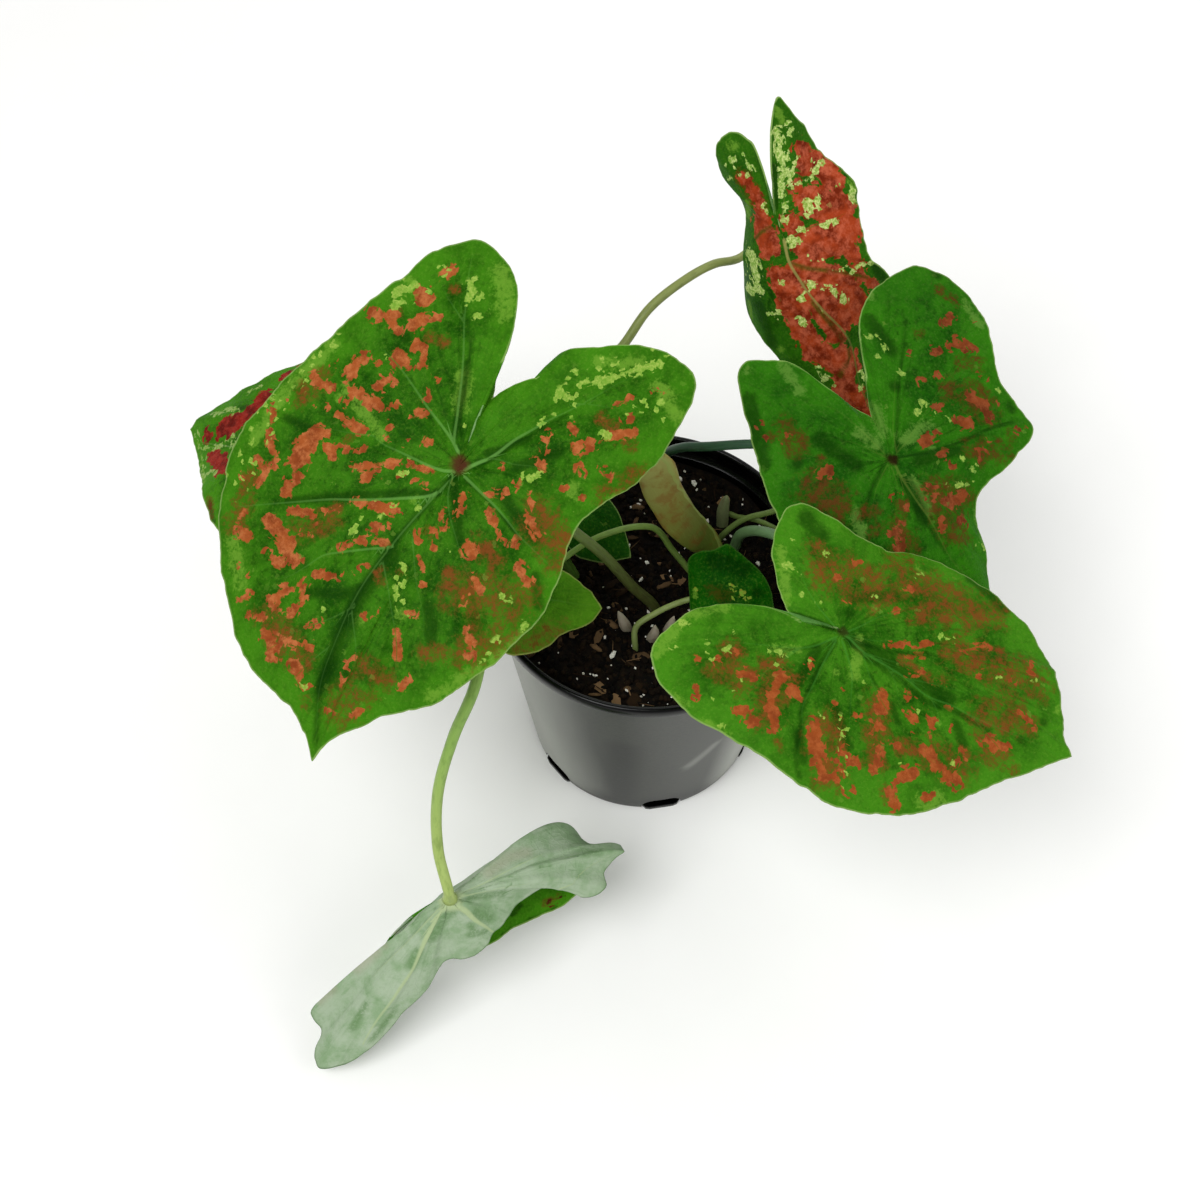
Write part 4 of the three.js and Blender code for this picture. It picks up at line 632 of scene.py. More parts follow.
class Shader:
    """A procedural material being wired up around one Principled BSDF, with a palette of named colours."""

    def __init__(self, name, palette="", **settings):
        words = palette.split()
        self.palette = dict(zip(words[::2], words[1::2]))
        self.material = bpy.data.materials.new(name)
        self.material.use_nodes = True
        self.tree = self.material.node_tree
        self.bsdf = self.tree.nodes["Principled BSDF"]
        for socket, value in settings.items():
            self.bsdf.inputs[socket.replace("_", " ")].default_value = value

    def plug(self, value, socket):
        if isinstance(value, Field):
            self.tree.links.new(value.socket, socket)
        else:
            socket.default_value = value

    def node(self, kind, inputs, output=0, **properties):
        made = self.tree.nodes.new("ShaderNode" + kind)
        for name, value in properties.items():
            setattr(made, name, value)
        for socket, value in inputs.items():
            self.plug(value, made.inputs[socket])
        return Field(self, made.outputs[output])

    def attribute(self, name, output="Fac"):
        return self.node("Attribute", {}, output, attribute_name=name)

    def place(self):
        return self.node("TexCoord", {}, "Object")

    def math(self, operation, a, b=0.0):
        return self.node("Math", {0: a, 1: b}, operation=operation)

    def scale(self, vector, factors):
        return self.node("VectorMath", {0: vector, 1: factors}, operation="MULTIPLY")

    def noise(self, vector, scale, detail=2.0, roughness=0.5):
        inputs = {"Vector": vector, "Scale": scale, "Detail": detail, "Roughness": roughness}
        return self.node("TexNoise", inputs)

    def cells(self, vector, scale):
        """A number for each cell of a blocky Voronoi pattern, from 0 to 1."""
        made = self.node("TexVoronoi", {"Vector": vector, "Scale": scale}, "Color", distance="CHEBYCHEV")
        return self.node("SeparateColor", {0: made})

    def net(self, vector, scale):
        """1 along the borders of Voronoi cells and 0 inside them."""
        inputs = {"Vector": vector, "Scale": scale}
        return self.node("TexVoronoi", inputs, "Distance", feature="DISTANCE_TO_EDGE").ease(0.12, 0.02)

    def colour(self, tone):
        """Linear RGBA of a name in the palette or an sRGB hex code. A field is given back as it is."""
        if isinstance(tone, Field):
            return tone
        code = self.palette.get(tone, tone)
        channels = [int(code[i:i + 2], 16) / 255 for i in (0, 2, 4)]
        return (*(c / 12.92 if c <= 0.04045 else ((c + 0.055) / 1.055) ** 2.4 for c in channels), 1.0)

    def coats(self, base, *layers):
        """A base colour under layers of others, each as dense as its share."""
        base = self.colour(base)
        for share, tone in layers:
            base = self.node("Mix", {0: share, 6: base, 7: self.colour(tone)}, 2, data_type="RGBA")
        return base

    def ramp(self, share, codes):
        """Colours at even steps of a share from 0 to 1."""
        last = len(codes) - 1
        layers = [(share.ease((i - 1) / last, i / last), codes[i]) for i in range(1, last + 1)]
        return self.coats(codes[0], *layers)

    def veins(self):
        """How much of a point is vein."""
        side = self.math("ABSOLUTE", self.attribute("vein_side"))
        return side.ease(1.25, 0.35) * self.attribute("vein_mm").ease(2.2, 1.3)

    def streaks(self):
        """Noise drawn out from the hub to the margin."""
        return self.noise(self.scale(self.attribute("fan", "Vector"), (2.2, 2.2, 0.7)), 0.5, 4, 0.65)

    def finish(self, base, relief, strength, distance=0.0004, roughness=None):
        self.plug(base, self.bsdf.inputs["Base Color"])
        if roughness is not None:
            self.plug(roughness, self.bsdf.inputs["Roughness"])
        bump = self.node("Bump", {"Strength": strength, "Distance": distance, "Height": relief})
        self.plug(bump, self.bsdf.inputs["Normal"])
        return self.material


def upper_material(name):
    own = BLADE_COLOURS.get(name, BLADE_COLOURS["shaded"])
    shader = Shader(f"upper_{name}", f"{COMMON_COLOURS} {own}", Specular_IOR_Level=0.02)
    spot = shader.attribute("leaf_mm", "Vector")
    edge, pale, dark = (shader.attribute(key) for key in ("edge", "pale", "dark"))
    blush, furrow = shader.attribute("blush"), shader.attribute("furrow")
    line = shader.veins()
    cloud = shader.noise(spot, 0.07, 4, 0.6)
    mottle = shader.noise(spot, 0.33, 5, 0.7)
    grain = shader.noise(spot, 1.2, 3, 0.7)
    streak = shader.streaks()

    # Green, paler at the margin, with clouds and haze, and painted shade under the dark and furrow marks.
    inland = edge.ease(2.0, 16.0)
    depth = inland * 0.3 + 0.2
    paled = pale + (mottle - 0.5) * 3.0 + (grain - 0.5) * 1.6
    shaded = dark + (mottle - 0.5) * 2.0
    hazed = blush + ((shader.noise(spot, 0.3, 6, 0.72) - 0.5) * 4.8 + (streak - 0.5) * 1.6)
    base = shader.coats(
        "green",
        (cloud.ease(0.36, 0.62), "light"),
        (mottle.ease(0.5, 0.68) * 0.6, "light"),
        ((1.0 - inland) * 0.55, "light"),
        (inland * 0.3, "green"),
        (mottle.ease(0.5, 0.34) * depth, "deep"),
        (streak.ease(0.46, 0.74) * depth, "deep"),
        ((grain.ease(0.45, 0.8) - grain.ease(0.5, 0.2) * 0.5) * 0.25, "pale"),
        (paled.ease(0.3, 1.2) * pale.ease(0.0, 0.5) * 0.55, "pale"),
        (shaded.ease(0.2, 1.1) * dark.ease(0.0, 0.4) * 0.65, "deep"),
        (furrow * (streak.ease(0.3, 0.6) * 0.35 + 0.3), "deep"),
        (hazed.ease(0.15, 1.1) * blush.ease(0.0, 0.5) * (grain.ease(0.3, 0.62) * 0.4 + 0.3), "blush"),
        (hazed.ease(0.9, 1.5) * blush.ease(0.0, 0.5) * 0.6, "patch_two"),
    )

    # Rust patches, cream flecks, veins, hub and margin over it.
    ragged = (shader.cells(spot, 0.48) - 0.5) * 2.3 + (shader.noise(spot, 0.9, 3, 0.6) - 0.5) * 1.8
    inside = (shader.attribute("patch") + ragged).ease(-0.25, 0.2)
    rust = shader.coats(
        "patch",
        (shader.noise(spot, 0.2, 3).ease(0.35, 0.65), "patch_two"),
        (mottle.ease(0.42, 0.66) * 0.75, "patch_light"),
        (grain.ease(0.45, 0.25) * 0.3, "blush"),
    )
    flecks = (shader.attribute("fleck") * 0.13 - shader.cells(spot, 0.75)).ease(-0.01, 0.02)
    cream = shader.math("MAXIMUM", (shader.attribute("cream") + ragged).ease(-0.12, 0.25), flecks)
    base = shader.coats(
        base,
        (inside * (1.0 - line * 0.6) * (1.0 - furrow * 0.7), rust),
        (cream * 0.9, shader.coats("cream", (grain.ease(0.3, 0.65), "pale"))),
        (line * shader.attribute("vein_width").ease(0.05, 0.9) * 0.85, "vein"),
    )
    if name in HUB_SPOTS:
        reach = HUB_SPOTS[name]
        uneven = shader.attribute("hub_mm") + (mottle - 0.5) * 3.0
        base = shader.coats(base, (uneven.ease(reach * 1.25, reach * 0.4) * 0.9, "hub"))
    base = shader.coats(base, (edge.ease(0.65, 0.15) * 0.7, "margin"))
    dents = grain * 0.6 - shader.net(spot, 0.5) * 0.4 + mottle * 0.9 + streak * 0.5
    return shader.finish(base, dents, 0.4, roughness=grain * 0.25 + 0.36)


def under_material(name):
    palette = UNDERSIDE_COLOURS.get(name, UNDERSIDE_COLOURS["other"])
    shader = Shader(f"under_{name}", palette, Roughness=0.6, Specular_IOR_Level=0.15)
    spot = shader.attribute("leaf_mm", "Vector")
    line = shader.veins()
    streak = shader.streaks()
    cloud = shader.noise(spot, 0.12, 5, 0.65)
    grain = shader.noise(spot, 1.0, 3, 0.7)
    fibre = shader.noise(shader.scale(spot, (0.35, 1.0, 0.35)), 0.8, 4, 0.65)
    base = shader.coats(
        "sage",
        (cloud.ease(0.35, 0.65), "bloom"),
        (streak.ease(0.5, 0.75) * 0.3, "shade"),
        (fibre.ease(0.55, 0.72) * 0.3, "shade"),
        (grain.ease(0.45, 0.8) * 0.3, "bloom"),
        (shader.attribute("pale") * fibre.ease(0.3, 0.6) * 0.6, "bloom"),
        # The dark marks are painted shade.
        (shader.attribute("dark") * grain.ease(0.2, 0.6) * 0.7, "shade"),
        (shader.attribute("blush") * 0.3, "A08C80"),
        ((shader.attribute("patch") + grain * 0.6).ease(0.1, 0.5) * 0.8, "shade"),
        (line * (shader.attribute("vein_width") + 0.25), "rib"),
        (shader.attribute("hub_mm").ease(5.0, 2.2), "rib"),
        (shader.attribute("edge").ease(0.6, 0.2) * 0.6, "shade"),
    )
    relief = shader.net(spot, 0.4) * 0.4 + line * 0.5 + grain * 0.5 + streak
    return shader.finish(base, relief, 0.4)


def stalk_material(name):
    shader = Shader(f"stalk_{name}", Roughness=0.42, Specular_IOR_Level=0.3)
    codes = STALK_COLOURS.get(name, STALK_COLOURS["shaded"]).split()
    around = shader.attribute("around_mm", "Vector")
    streak = shader.noise(shader.scale(around, (1.0, 1.0, 0.12)), 1.6, 4, 0.6)
    mottle = shader.noise(around, 0.25, 3, 0.6)
    base = shader.coats(
        shader.ramp(shader.attribute("along"), codes),
        (streak.ease(0.4, 0.8) * 0.35, codes[-1]),
        (mottle.ease(0.45, 0.75) * 0.4, codes[0]),
    )
    return shader.finish(base, streak, 0.25, 0.0003)


def shoot_material(name):
    shader = Shader(f"skin_{name}", Roughness=0.5, Specular_IOR_Level=0.2)
    *codes, blotch, rim = SHOOT_COLOURS.get(name, SHOOT_COLOURS["sprout"]).split()
    around = shader.attribute("around_mm", "Vector")
    streak = shader.noise(shader.scale(around, (1.0, 1.0, 0.15)), 1.8, 4, 0.6)
    mottle = shader.noise(around, 0.22, 3, 0.6)
    base = shader.coats(
        shader.ramp(shader.attribute("along"), codes),
        (mottle.ease(0.45, 0.65) * 0.6, blotch),
        (streak.ease(0.5, 0.8) * 0.35, rim),
        (shader.attribute("lap").ease(1.6, 0.3) * 0.7, rim),
    )
    return shader.finish(base, streak, 0.3, 0.0003)


def wall_material():
    shader = Shader("pot_wall", Specular_IOR_Level=0.4)
    place = shader.place()
    grain = shader.noise(place, 900, 3, 0.7)
    cloud = shader.noise(shader.scale(place, (1.0, 1.0, 0.35)), 26, 4, 0.55)
    brushed = shader.noise(shader.scale(place, (30.0, 30.0, 130.0)), 3.0, 5, 0.7)
    wall = shader.coats(
        "252722",
        (cloud.ease(0.3, 0.7), "32342E"),
        (grain.ease(0.4, 0.62) * 0.35, "4A4C45"),
        (grain.ease(0.5, 0.34) * 0.25, "1E1F1C"),
        (brushed.ease(0.62, 0.75) * 0.15, "5E605A"),
        # Painted light on the sides of the wall, a pale scratch, then painted shade down its middle and along
        # its foot.
        (shader.attribute("bloom") * (cloud.ease(0.2, 0.7) * 0.3 + 0.7), "989A92"),
        (shader.attribute("scuff") * 0.45, "989A92"),
        (shader.attribute("shade") * 0.75, "141512"),
    )
    return shader.finish(wall, grain, 0.15, 0.0002, grain * 0.15 + 0.33)


def black_material():
    shader = Shader("pot_black", Specular_IOR_Level=0.16)
    place = shader.place()
    grain = shader.noise(place, 900, 3, 0.7)
    highlight_breaks = shader.noise(shader.scale(place, (1.0, 1.0, 0.1)), 60, 3).ease(0.42, 0.6)
    black = shader.coats(
        "020202",
        (grain.ease(0.3, 0.8), "070706"),
        # Painted highlights: a soft grey line along the top of the bead and a bright broken line along the
        # lip's lower edge.
        (shader.attribute("bead") * 0.8, "5A5B58"),
        (shader.attribute("lip_highlight") * highlight_breaks, "DADCD8"),
    )
    return shader.finish(black, grain, 0.1, 0.0002, grain * 0.08 + 0.14)


def peat_material():
    shader = Shader("peat_mix", Roughness=0.92, Specular_IOR_Level=0.12)
    tint = shader.attribute("tint")
    coarse = shader.noise(shader.place(), 420, 4, 0.7)
    base = shader.coats(
        "040302",
        (tint.ease(0.0, 1.0), "26190C"),
        (coarse.ease(0.52, 0.7) * 0.45, "2A2012"),
        (tint.ease(1.0, 1.7), "7A5F42"),
    )
    return shader.finish(base, coarse, 0.8, 0.0006)


def perlite_material():
    shader = Shader("perlite", Roughness=0.75, Specular_IOR_Level=0.3)
    pits = shader.noise(shader.place(), 1400, 3, 0.6)
    return shader.finish(shader.coats("B4AC9A", (pits.ease(0.3, 0.6), "F6F3E8")), pits, 0.6, 0.0003)


def tuber_material():
    shader = Shader("tuber_skin", Roughness=0.85, Specular_IOR_Level=0.2)
    rings = shader.noise(shader.scale(shader.place(), (1.0, 1.0, 4.0)), 120, 4, 0.6)
    return shader.finish(shader.coats("4B3420", (rings.ease(0.3, 0.7), "8A6A46")), rings, 0.6, 0.0008)


def floor_material():
    shader = Shader("studio_floor", Roughness=0.8, Specular_IOR_Level=0.1)
    speck = shader.noise(shader.place(), 40)
    return shader.finish(shader.coats("F8F8F6", (speck, "FBFBF9")), speck, 0.02)


# ---------------------------------------------------------------- blades


def make_piece(name, points, faces, materials, material_of=None, attributes=None, node=None, slot=None):
    """A smooth-shaded mesh from points in millimetres, riding on the part's body when a slot is given."""
    mesh = bpy.data.meshes.new(name)
    mesh.from_pydata((np.asarray(points, float) * MM).tolist(), [], faces)
    for material in materials:
        mesh.materials.append(material)
    if material_of is not None:
        mesh.polygons.foreach_set("material_index", material_of)
    for key, values in (attributes or {}).items():
        values = np.asarray(values, dtype=np.float32)
        kind, field = ("FLOAT_VECTOR", "vector") if values.ndim == 2 else ("FLOAT", "value")
        mesh.attributes.new(key, kind, "POINT").data.foreach_set(field, values.ravel())
    mesh.polygons.foreach_set("use_smooth", [True] * len(mesh.polygons))
    mesh.update()
    piece = bpy.data.objects.new(name, mesh)
    bpy.context.scene.collection.objects.link(piece)
    if node:
        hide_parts(node)
    if slot:
        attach(piece, "root")
    return piece


def through(points, shares):
    """Points of the centripetal Catmull-Rom curve through points, at shares of its parameter."""
    points = np.asarray(points, float)
    shares = np.asarray(shares, float)
    last = len(points) - 1
    padded = np.vstack([2 * points[0] - points[1], points, 2 * points[-1] - points[-2]])
    at = np.clip((shares * last).astype(int), 0, last - 1)
    w = (shares * last - at)[:, None]
    p0, p1, p2, p3 = (padded[at + k] for k in range(4))

    def gap(a, b):
        return np.maximum(np.sum((b - a) ** 2, axis=1) ** 0.25, 1e-4)[:, None]

    d0, d1, d2 = gap(p0, p1), gap(p1, p2), gap(p2, p3)
    m1 = ((p1 - p0) / d0 - (p2 - p0) / (d0 + d1) + (p2 - p1) / d1) * d1
    m2 = ((p2 - p1) / d1 - (p3 - p1) / (d1 + d2) + (p3 - p2) / d2) * d1
    return p1 + m1 * w + (3 * (p2 - p1) - 2 * m1 - m2) * w**2 + (2 * (p1 - p2) + m1 + m2) * w**3


def blade_axes(turn):
    heading, pitch, roll = (math.radians(angle) for angle in turn)
    x = np.array([math.cos(heading) * math.cos(pitch), math.sin(heading) * math.cos(pitch), math.sin(pitch)])
    level = np.array([-math.sin(heading), math.cos(heading), 0])
    y = level * math.cos(roll) + np.cross(x, level) * math.sin(roll)
    return np.array([x, y, np.cross(x, y)])


def read_points(text):
    """One row of numbers for each point of a table's text."""
    return np.array([point.split() for point in text.split(";")], float)


def read_strokes(text, size):
    """The half width and the points of every stroke of a mark, with 2 or 3 numbers a point."""
    strokes = []
    for group in text.split(";"):
        half, lines = group.split(":")
        for line in lines.split(","):
            points = np.reshape([float(word) for word in line.split()], (-1, size))
            strokes.append((float(half), np.column_stack([points, np.zeros((len(points), 3 - size))])))
    return strokes


def offset_from(spots, a, b):
    """The share of the way from a to b that is nearest to each spot, and the spot's offset from there."""
    along = b - a
    share = np.clip((spots - a) @ along / max(along @ along, 1e-6), 0, 1)
    return share, spots - a - share[:, None] * along


def stroke_field(spots, strokes, soft):
    """How far each spot lies inside the nearest stroke, in millimetres, or from 0 to 1 for soft strokes."""
    best = np.full(len(spots), 0.0 if soft else CRISP_FLOOR)
    for half, line in strokes:
        for a, b in zip(line[:max(1, len(line) - 1)], line[min(1, len(line) - 1):]):
            apart = np.linalg.norm(offset_from(spots, a, b)[1], axis=1)
            best = np.maximum(best, np.clip(SOFT_REACH - apart / half, 0, 1) if soft else half - apart)
    return best


def vein_fields(spots, ups, strokes):
    """Each spot's nearest vein: the signed distance in its half widths, the distance, and its half width."""
    side, apart, width = (np.full(len(spots), value) for value in (NO_VEIN, NO_VEIN, NO_VEIN_WIDTH))
    for half, corners in strokes:
        steps = np.linspace(0, 1, VEIN_STEPS * (len(corners) - 1) + 1)
        line = through(corners, steps)
        for a, b, low, high in zip(line[:-1], line[1:], steps[:-1], steps[1:]):
            share, offset = offset_from(spots, a, b)
            distance = np.linalg.norm(offset, axis=1)
            here = half * (1 - VEIN_TAPER * (low + (high - low) * share))
            turned = np.sign(np.sum(np.cross(b - a, offset) * ups, axis=1))
            closer = distance < apart
            side = np.where(closer, turned * distance / here, side)
            width = np.where(closer, here, width)
            apart = np.where(closer, distance, apart)
    return side, apart, width


def blade_rays(leaf, rim):
    """The margin and fold point of every ray, its share of the way round, and which rays are ribs."""
    fold = np.column_stack([rim[:, :2] / 2, np.full(len(rim), leaf["bow"])])
    if "fold" in leaf:
        fold = read_points(leaf["fold"])
    count = len(rim)
    edges, folds, around, ribs = [], [], [], []
    for first, last in ((0, leaf["sinus"]), (leaf["sinus"], count)):
        shares = []
        for i in range(first, last):
            chord = np.linalg.norm(rim[i] - rim[(i + 1) % count])
            parts = RAY_GROUP * max(1, round(chord / RAY_REACH))
            if i in leaf["ribs"]:
                ribs.append(len(around))
            around += [(i + part / parts) / count for part in range(parts)]
            shares += [(i - first + part / parts) / (last - first) for part in range(parts)]
        chosen = [*range(first, last), last % count]
        edges.append(through(rim[chosen], shares))
        folds.append(through(fold[chosen], shares))
    edges, folds, around = np.vstack(edges), np.vstack(folds), np.array(around)
    height, waves, phase = leaf["wave"]
    edges[:, 2] += height * np.sin(2 * math.pi * waves * around + phase)
    edges[:, 2] += RIPPLE_HEIGHT * np.sin(2 * math.pi * (2 * waves + 7) * around) * min(1, len(rim) / 20)
    reach = np.linalg.norm(edges, axis=1)
    rough = np.array([
        noise.noise(edge * 0.13) + 0.5 * noise.noise(edge * 0.42) for edge in map(Vector, edges)])
    edges *= (1 + MARGIN_NOISE * rough * np.clip(reach / 20 - 0.3, 0, 1) / reach)[:, None]
    return edges, folds, around, ribs


def blade_grid(edges, folds, longest):
    """The middle surface: its points, their shares of the ray, their rays, the triangles, and the margin."""
    count = len(edges)
    rings = max(LEAST_RINGS, round(longest / RING_STEP))
    points, shares, rays, faces = [np.zeros((1, 3))], [0.0], [0], []
    previous, size = None, 1
    for ring in range(1, rings + 1):
        t = ring / rings
        stride = next((step for limit, step in COARSE_SHARES if t < limit), 1)
        chosen = np.arange(0, count, stride)
        points.append(2 * t * (1 - t) * folds[chosen] + t * t * edges[chosen])
        shares += [t] * len(chosen)
        rays += chosen.tolist()
        here = size + np.arange(len(chosen))
        size += len(chosen)
        after = np.roll(here, -1)
        if previous is None:
            faces += [(0, int(a), int(b)) for a, b in zip(here, after)]
        else:
            inner, inner_after = previous, np.roll(previous, -1)
            if len(inner) == len(here):
                for a, b, c, d in zip(inner.tolist(), inner_after.tolist(), here.tolist(), after.tolist()):
                    faces += [(a, c, d), (a, d, b)]
            else:
                for j, (a, b) in enumerate(zip(inner.tolist(), inner_after.tolist())):
                    left, middle = int(here[2 * j]), int(here[2 * j + 1])
                    right = int(after[2 * j + 1])
                    faces += [(a, left, middle), (a, middle, b), (b, middle, right)]
        previous = here
    return np.vstack(points), np.array(shares), np.array(rays), faces, previous


def surface_normals(points, faces):
    corners = np.array(faces)
    a, b, c = (points[corners[:, k]] for k in range(3))
    across = np.cross(b - a, c - a)
    normals = np.zeros_like(points)
    for k in range(3):
        np.add.at(normals, corners[:, k], across)
    return normals / np.maximum(np.linalg.norm(normals, axis=1, keepdims=True), 1e-9)


def distance_to(spots, targets):
    """The distance from each spot to the nearest target."""
    chunks = np.array_split(spots, max(1, len(spots) * len(targets) // 4_000_000))
    return np.concatenate([np.linalg.norm(chunk[:, None] - targets, axis=2).min(axis=1) for chunk in chunks])


def blade_attributes(name, leaf, middle, normals, turn, margin, rays):
    """What the materials of a blade are told about each of its points. Rays are those that ribs run along."""
    folded = "fold" in leaf
    spots = middle if folded else middle * (1, 1, 0)
    ups = normals if folded else np.array([[0, 0, 1]])
    marks = {kind: read_strokes(text, 3 if folded else 2) for kind, text in MARKS.get(name, {}).items()}
    ray_veins = [(RIB_HALF_WIDTH, ray * (1, 1, 0)) for ray in rays]
    side, apart, width = vein_fields(spots, ups, marks.get("vein", ray_veins))
    hub_mm = np.linalg.norm(middle, axis=1)
    outward = FAN_STRETCH * np.log1p(hub_mm / FAN_STRETCH)
    fields = {
        "leaf_mm": middle,
        "fan": np.column_stack([FAN_RADIUS * np.cos(turn), FAN_RADIUS * np.sin(turn), outward]),
        "vein_side": side,
        "vein_mm": apart,
        "vein_width": width,
        "edge": distance_to(middle, middle[margin]),
        "hub_mm": hub_mm,
    }
    for kind in ("patch", "cream"):
        fields[kind] = stroke_field(spots, marks.get(kind, []), False)
    for kind in ("blush", "pale", "dark", "fleck", "furrow"):
        fields[kind] = stroke_field(spots, marks.get(kind, []), True)
    return fields


def build_blade(name, leaf):
    rim = read_points(leaf["rim"])
    edges, folds, around, ribs = blade_rays(leaf, rim)
    longest = np.linalg.norm(rim, axis=1).max()
    middle, shares, rays, faces, margin = blade_grid(edges, folds, longest)
    normals = surface_normals(middle, faces)
    normals[0] = (0, 0, 1)
    steps = np.linspace(0, RIB_REACH, RIB_STEPS)[:, None]
    rib_rays = [2 * steps * (1 - steps) * folds[ray] + steps**2 * edges[ray] for ray in ribs]
    fields = blade_attributes(name, leaf, middle, normals, 2 * math.pi * around[rays], margin, rib_rays)
    apart, width = fields["vein_mm"], fields["vein_width"]
    inland = np.clip(fields["edge"] / MARGIN_BAND, 0, 1)
    inner = 1 - shares**3
    lumps = np.array([noise.noise(Vector(point) * LUMP_SCALE) for point in middle]) * LUMP_HEIGHT * inland
    puff = PUFF_HEIGHT * (1 - np.exp(-(apart / PUFF_WIDTH) ** 2)) * inland * min(1, longest / 60)
    valley = VALLEY_DEPTH * np.minimum(1, width / 0.5) * np.exp(-(apart / VALLEY_WIDTH) ** 2) * inner
    ridge = RIDGE_HEIGHT * width * np.exp(-(apart / (width + RIDGE_SPREAD)) ** 2) * inner
    thick = BLADE_THICKNESS + (MARGIN_THICKNESS - BLADE_THICKNESS) * shares**3
    upper = middle + normals * (thick / 2 + lumps + puff - valley)[:, None]
    lower = middle - normals * (thick / 2 - lumps - puff + ridge)[:, None]
    size = len(middle)
    solid = faces + [(c + size, b + size, a + size) for a, b, c in faces]
    for a, b in zip(margin.tolist(), np.roll(margin, -1).tolist()):
        solid += [(a, a + size, b + size), (a, b + size, b)]
    sides = [0] * len(faces) + [1] * len(faces) + [0] * (2 * len(margin))
    points = np.array(leaf["hub"]) + np.vstack([upper, lower]) @ blade_axes(leaf["turn"])
    doubled = {key: np.concatenate([values, values]) for key, values in fields.items()}
    slot = {"back": "leaf_red", "left_back": "leaf_red", "drooping": "leaf_pale"}.get(name, "leaf")
    materials = [upper_material(name), under_material(name)]
    make_piece(f"blade_{name}", points, solid, materials, sides, doubled, f"leaf_{name}", slot)


# ---------------------------------------------------------------- stalks and shoots


def even_points(points, step):
    """Even steps along the curve through points: their places and distances along it, and the points' own."""
    fine = through(points, np.linspace(0, 1, SPAN_STEPS * (len(points) - 1) + 1))
    lengths = np.concatenate([[0], np.cumsum(np.linalg.norm(np.diff(fine, axis=0), axis=1))])
    marks = np.linspace(0, lengths[-1], max(6, round(lengths[-1] / step)) + 1)
    centres = np.column_stack([np.interp(marks, lengths, fine[:, k]) for k in range(3)])
    return centres, marks, lengths[::SPAN_STEPS]


def path_tangents(centres):
    tangents = np.gradient(centres, axis=0)
    return tangents / np.linalg.norm(tangents, axis=1, keepdims=True)


def carried_frames(centres):
    """Two axes square to the path at each centre, carried along it without twist."""
    tangents = path_tangents(centres)
    least = np.eye(3)[np.argmin(np.abs(tangents[0]))]
    first = np.cross(tangents[0], np.cross(tangents[0], least))
    normals = [first / np.linalg.norm(first)]
    for before, after in zip(tangents[:-1], tangents[1:]):
        normal = normals[-1]
        hinge = np.cross(before, after)
        if np.linalg.norm(hinge) > 1e-9:
            hinge /= np.linalg.norm(hinge)
            angle = math.acos(float(np.clip(before @ after, -1, 1)))
            normal = (normal * math.cos(angle) + np.cross(hinge, normal) * math.sin(angle)
                      + hinge * (hinge @ normal) * (1 - math.cos(angle)))
        normals.append(normal)
    return np.array(normals), np.cross(tangents, normals)


def faced_frames(centres):
    """Two axes square to the path at each centre, with the first one square to the facing too."""
    tangents = path_tangents(centres)
    broad = np.cross(tangents, SHOOT_FACING)
    broad /= np.linalg.norm(broad, axis=1, keepdims=True)
    return broad, np.cross(tangents, broad)


def ring_faces(rings, sides):
    """Faces of a closed body of rings of points, with the points at its two ends after them."""
    first, top = rings * sides, (rings - 1) * sides
    faces = []
    for j in range(sides):
        n = (j + 1) % sides
        faces += [(row + j, row + n, row + sides + n, row + sides + j) for row in range(0, top, sides)]
        faces += [(first, n, j), (first + 1, top + j, top + n)]
    return faces


def build_tube(name, centres, marks, frames, radius_of, sides, material, node, slot, flat=1.0, lap=0.0):
    """A closed tube along the centres. With a lap its section is a rolled sheet that steps at its edge."""
    angles = 2 * math.pi * np.arange(sides) / sides
    turn = angles / (2 * math.pi)
    points, lap_mm, around = [], [], []
    for centre, mark, broad, across in zip(centres, marks, *frames):
        radius = radius_of(mark)
        bumps = [noise.noise(Vector((math.cos(a), math.sin(a), mark * 0.15))) for a in angles]
        section = radius * (1 - lap * turn) * (1 + SKIN_BUMP * np.array(bumps))
        spin = 0.25 * math.sin(mark * 0.12) - 4 * lap + 0.8 * lap * noise.noise(Vector((0, 7, mark * 0.4)))
        u = section * np.cos(angles + spin) * flat
        v = section * np.sin(angles + spin) / flat
        points.append(centre + u[:, None] * broad + v[:, None] * across)
        lap_mm.append(turn * 2 * math.pi * radius if lap else np.full(sides, NO_LAP))
        ring = (SKIN_WRAP * np.cos(angles), SKIN_WRAP * np.sin(angles), np.full(sides, mark))
        around.append(np.column_stack(ring))
    points = np.vstack(points + [centres[:1], centres[-1:]])
    attributes = {
        "along": np.concatenate([np.repeat(marks / marks[-1], sides), [0, 1]]),
        "around_mm": np.vstack(around + [[[0, 0, marks[0]], [0, 0, marks[-1]]]]),
        "lap": np.concatenate(lap_mm + [[NO_LAP, NO_LAP]]),
    }
    make_piece(name, points, ring_faces(len(centres), sides), [material], None, attributes, node, slot)


def root_of(point):
    return [point[0] * STEM_ROOT_PULL, point[1] * STEM_ROOT_PULL, STEM_ROOT_Z]


def build_stalk(name, leaf):
    up = blade_axes(leaf["turn"])[2]
    hub = np.array(leaf["hub"], float)
    stem = read_points(leaf["stem"])
    path = [root_of(stem[0]), *stem, hub - STALK_NECK * up, hub - STALK_END * up]
    centres, marks, _ = even_points(path, STALK_STEP)
    near, far = leaf["radius"]
    total = marks[-1]

    def radius_of(mark):
        flare = max(0.0, 1 - (total - mark) / FLARE_LENGTH)
        return (near + (far - near) * mark / total) * (1 + FLARE_SHARE * flare**2)

    build_tube(f"stalk_{name}", centres, marks, carried_frames(centres), radius_of, STALK_SIDES,
               stalk_material(name), f"petiole_{name}", "petiole")


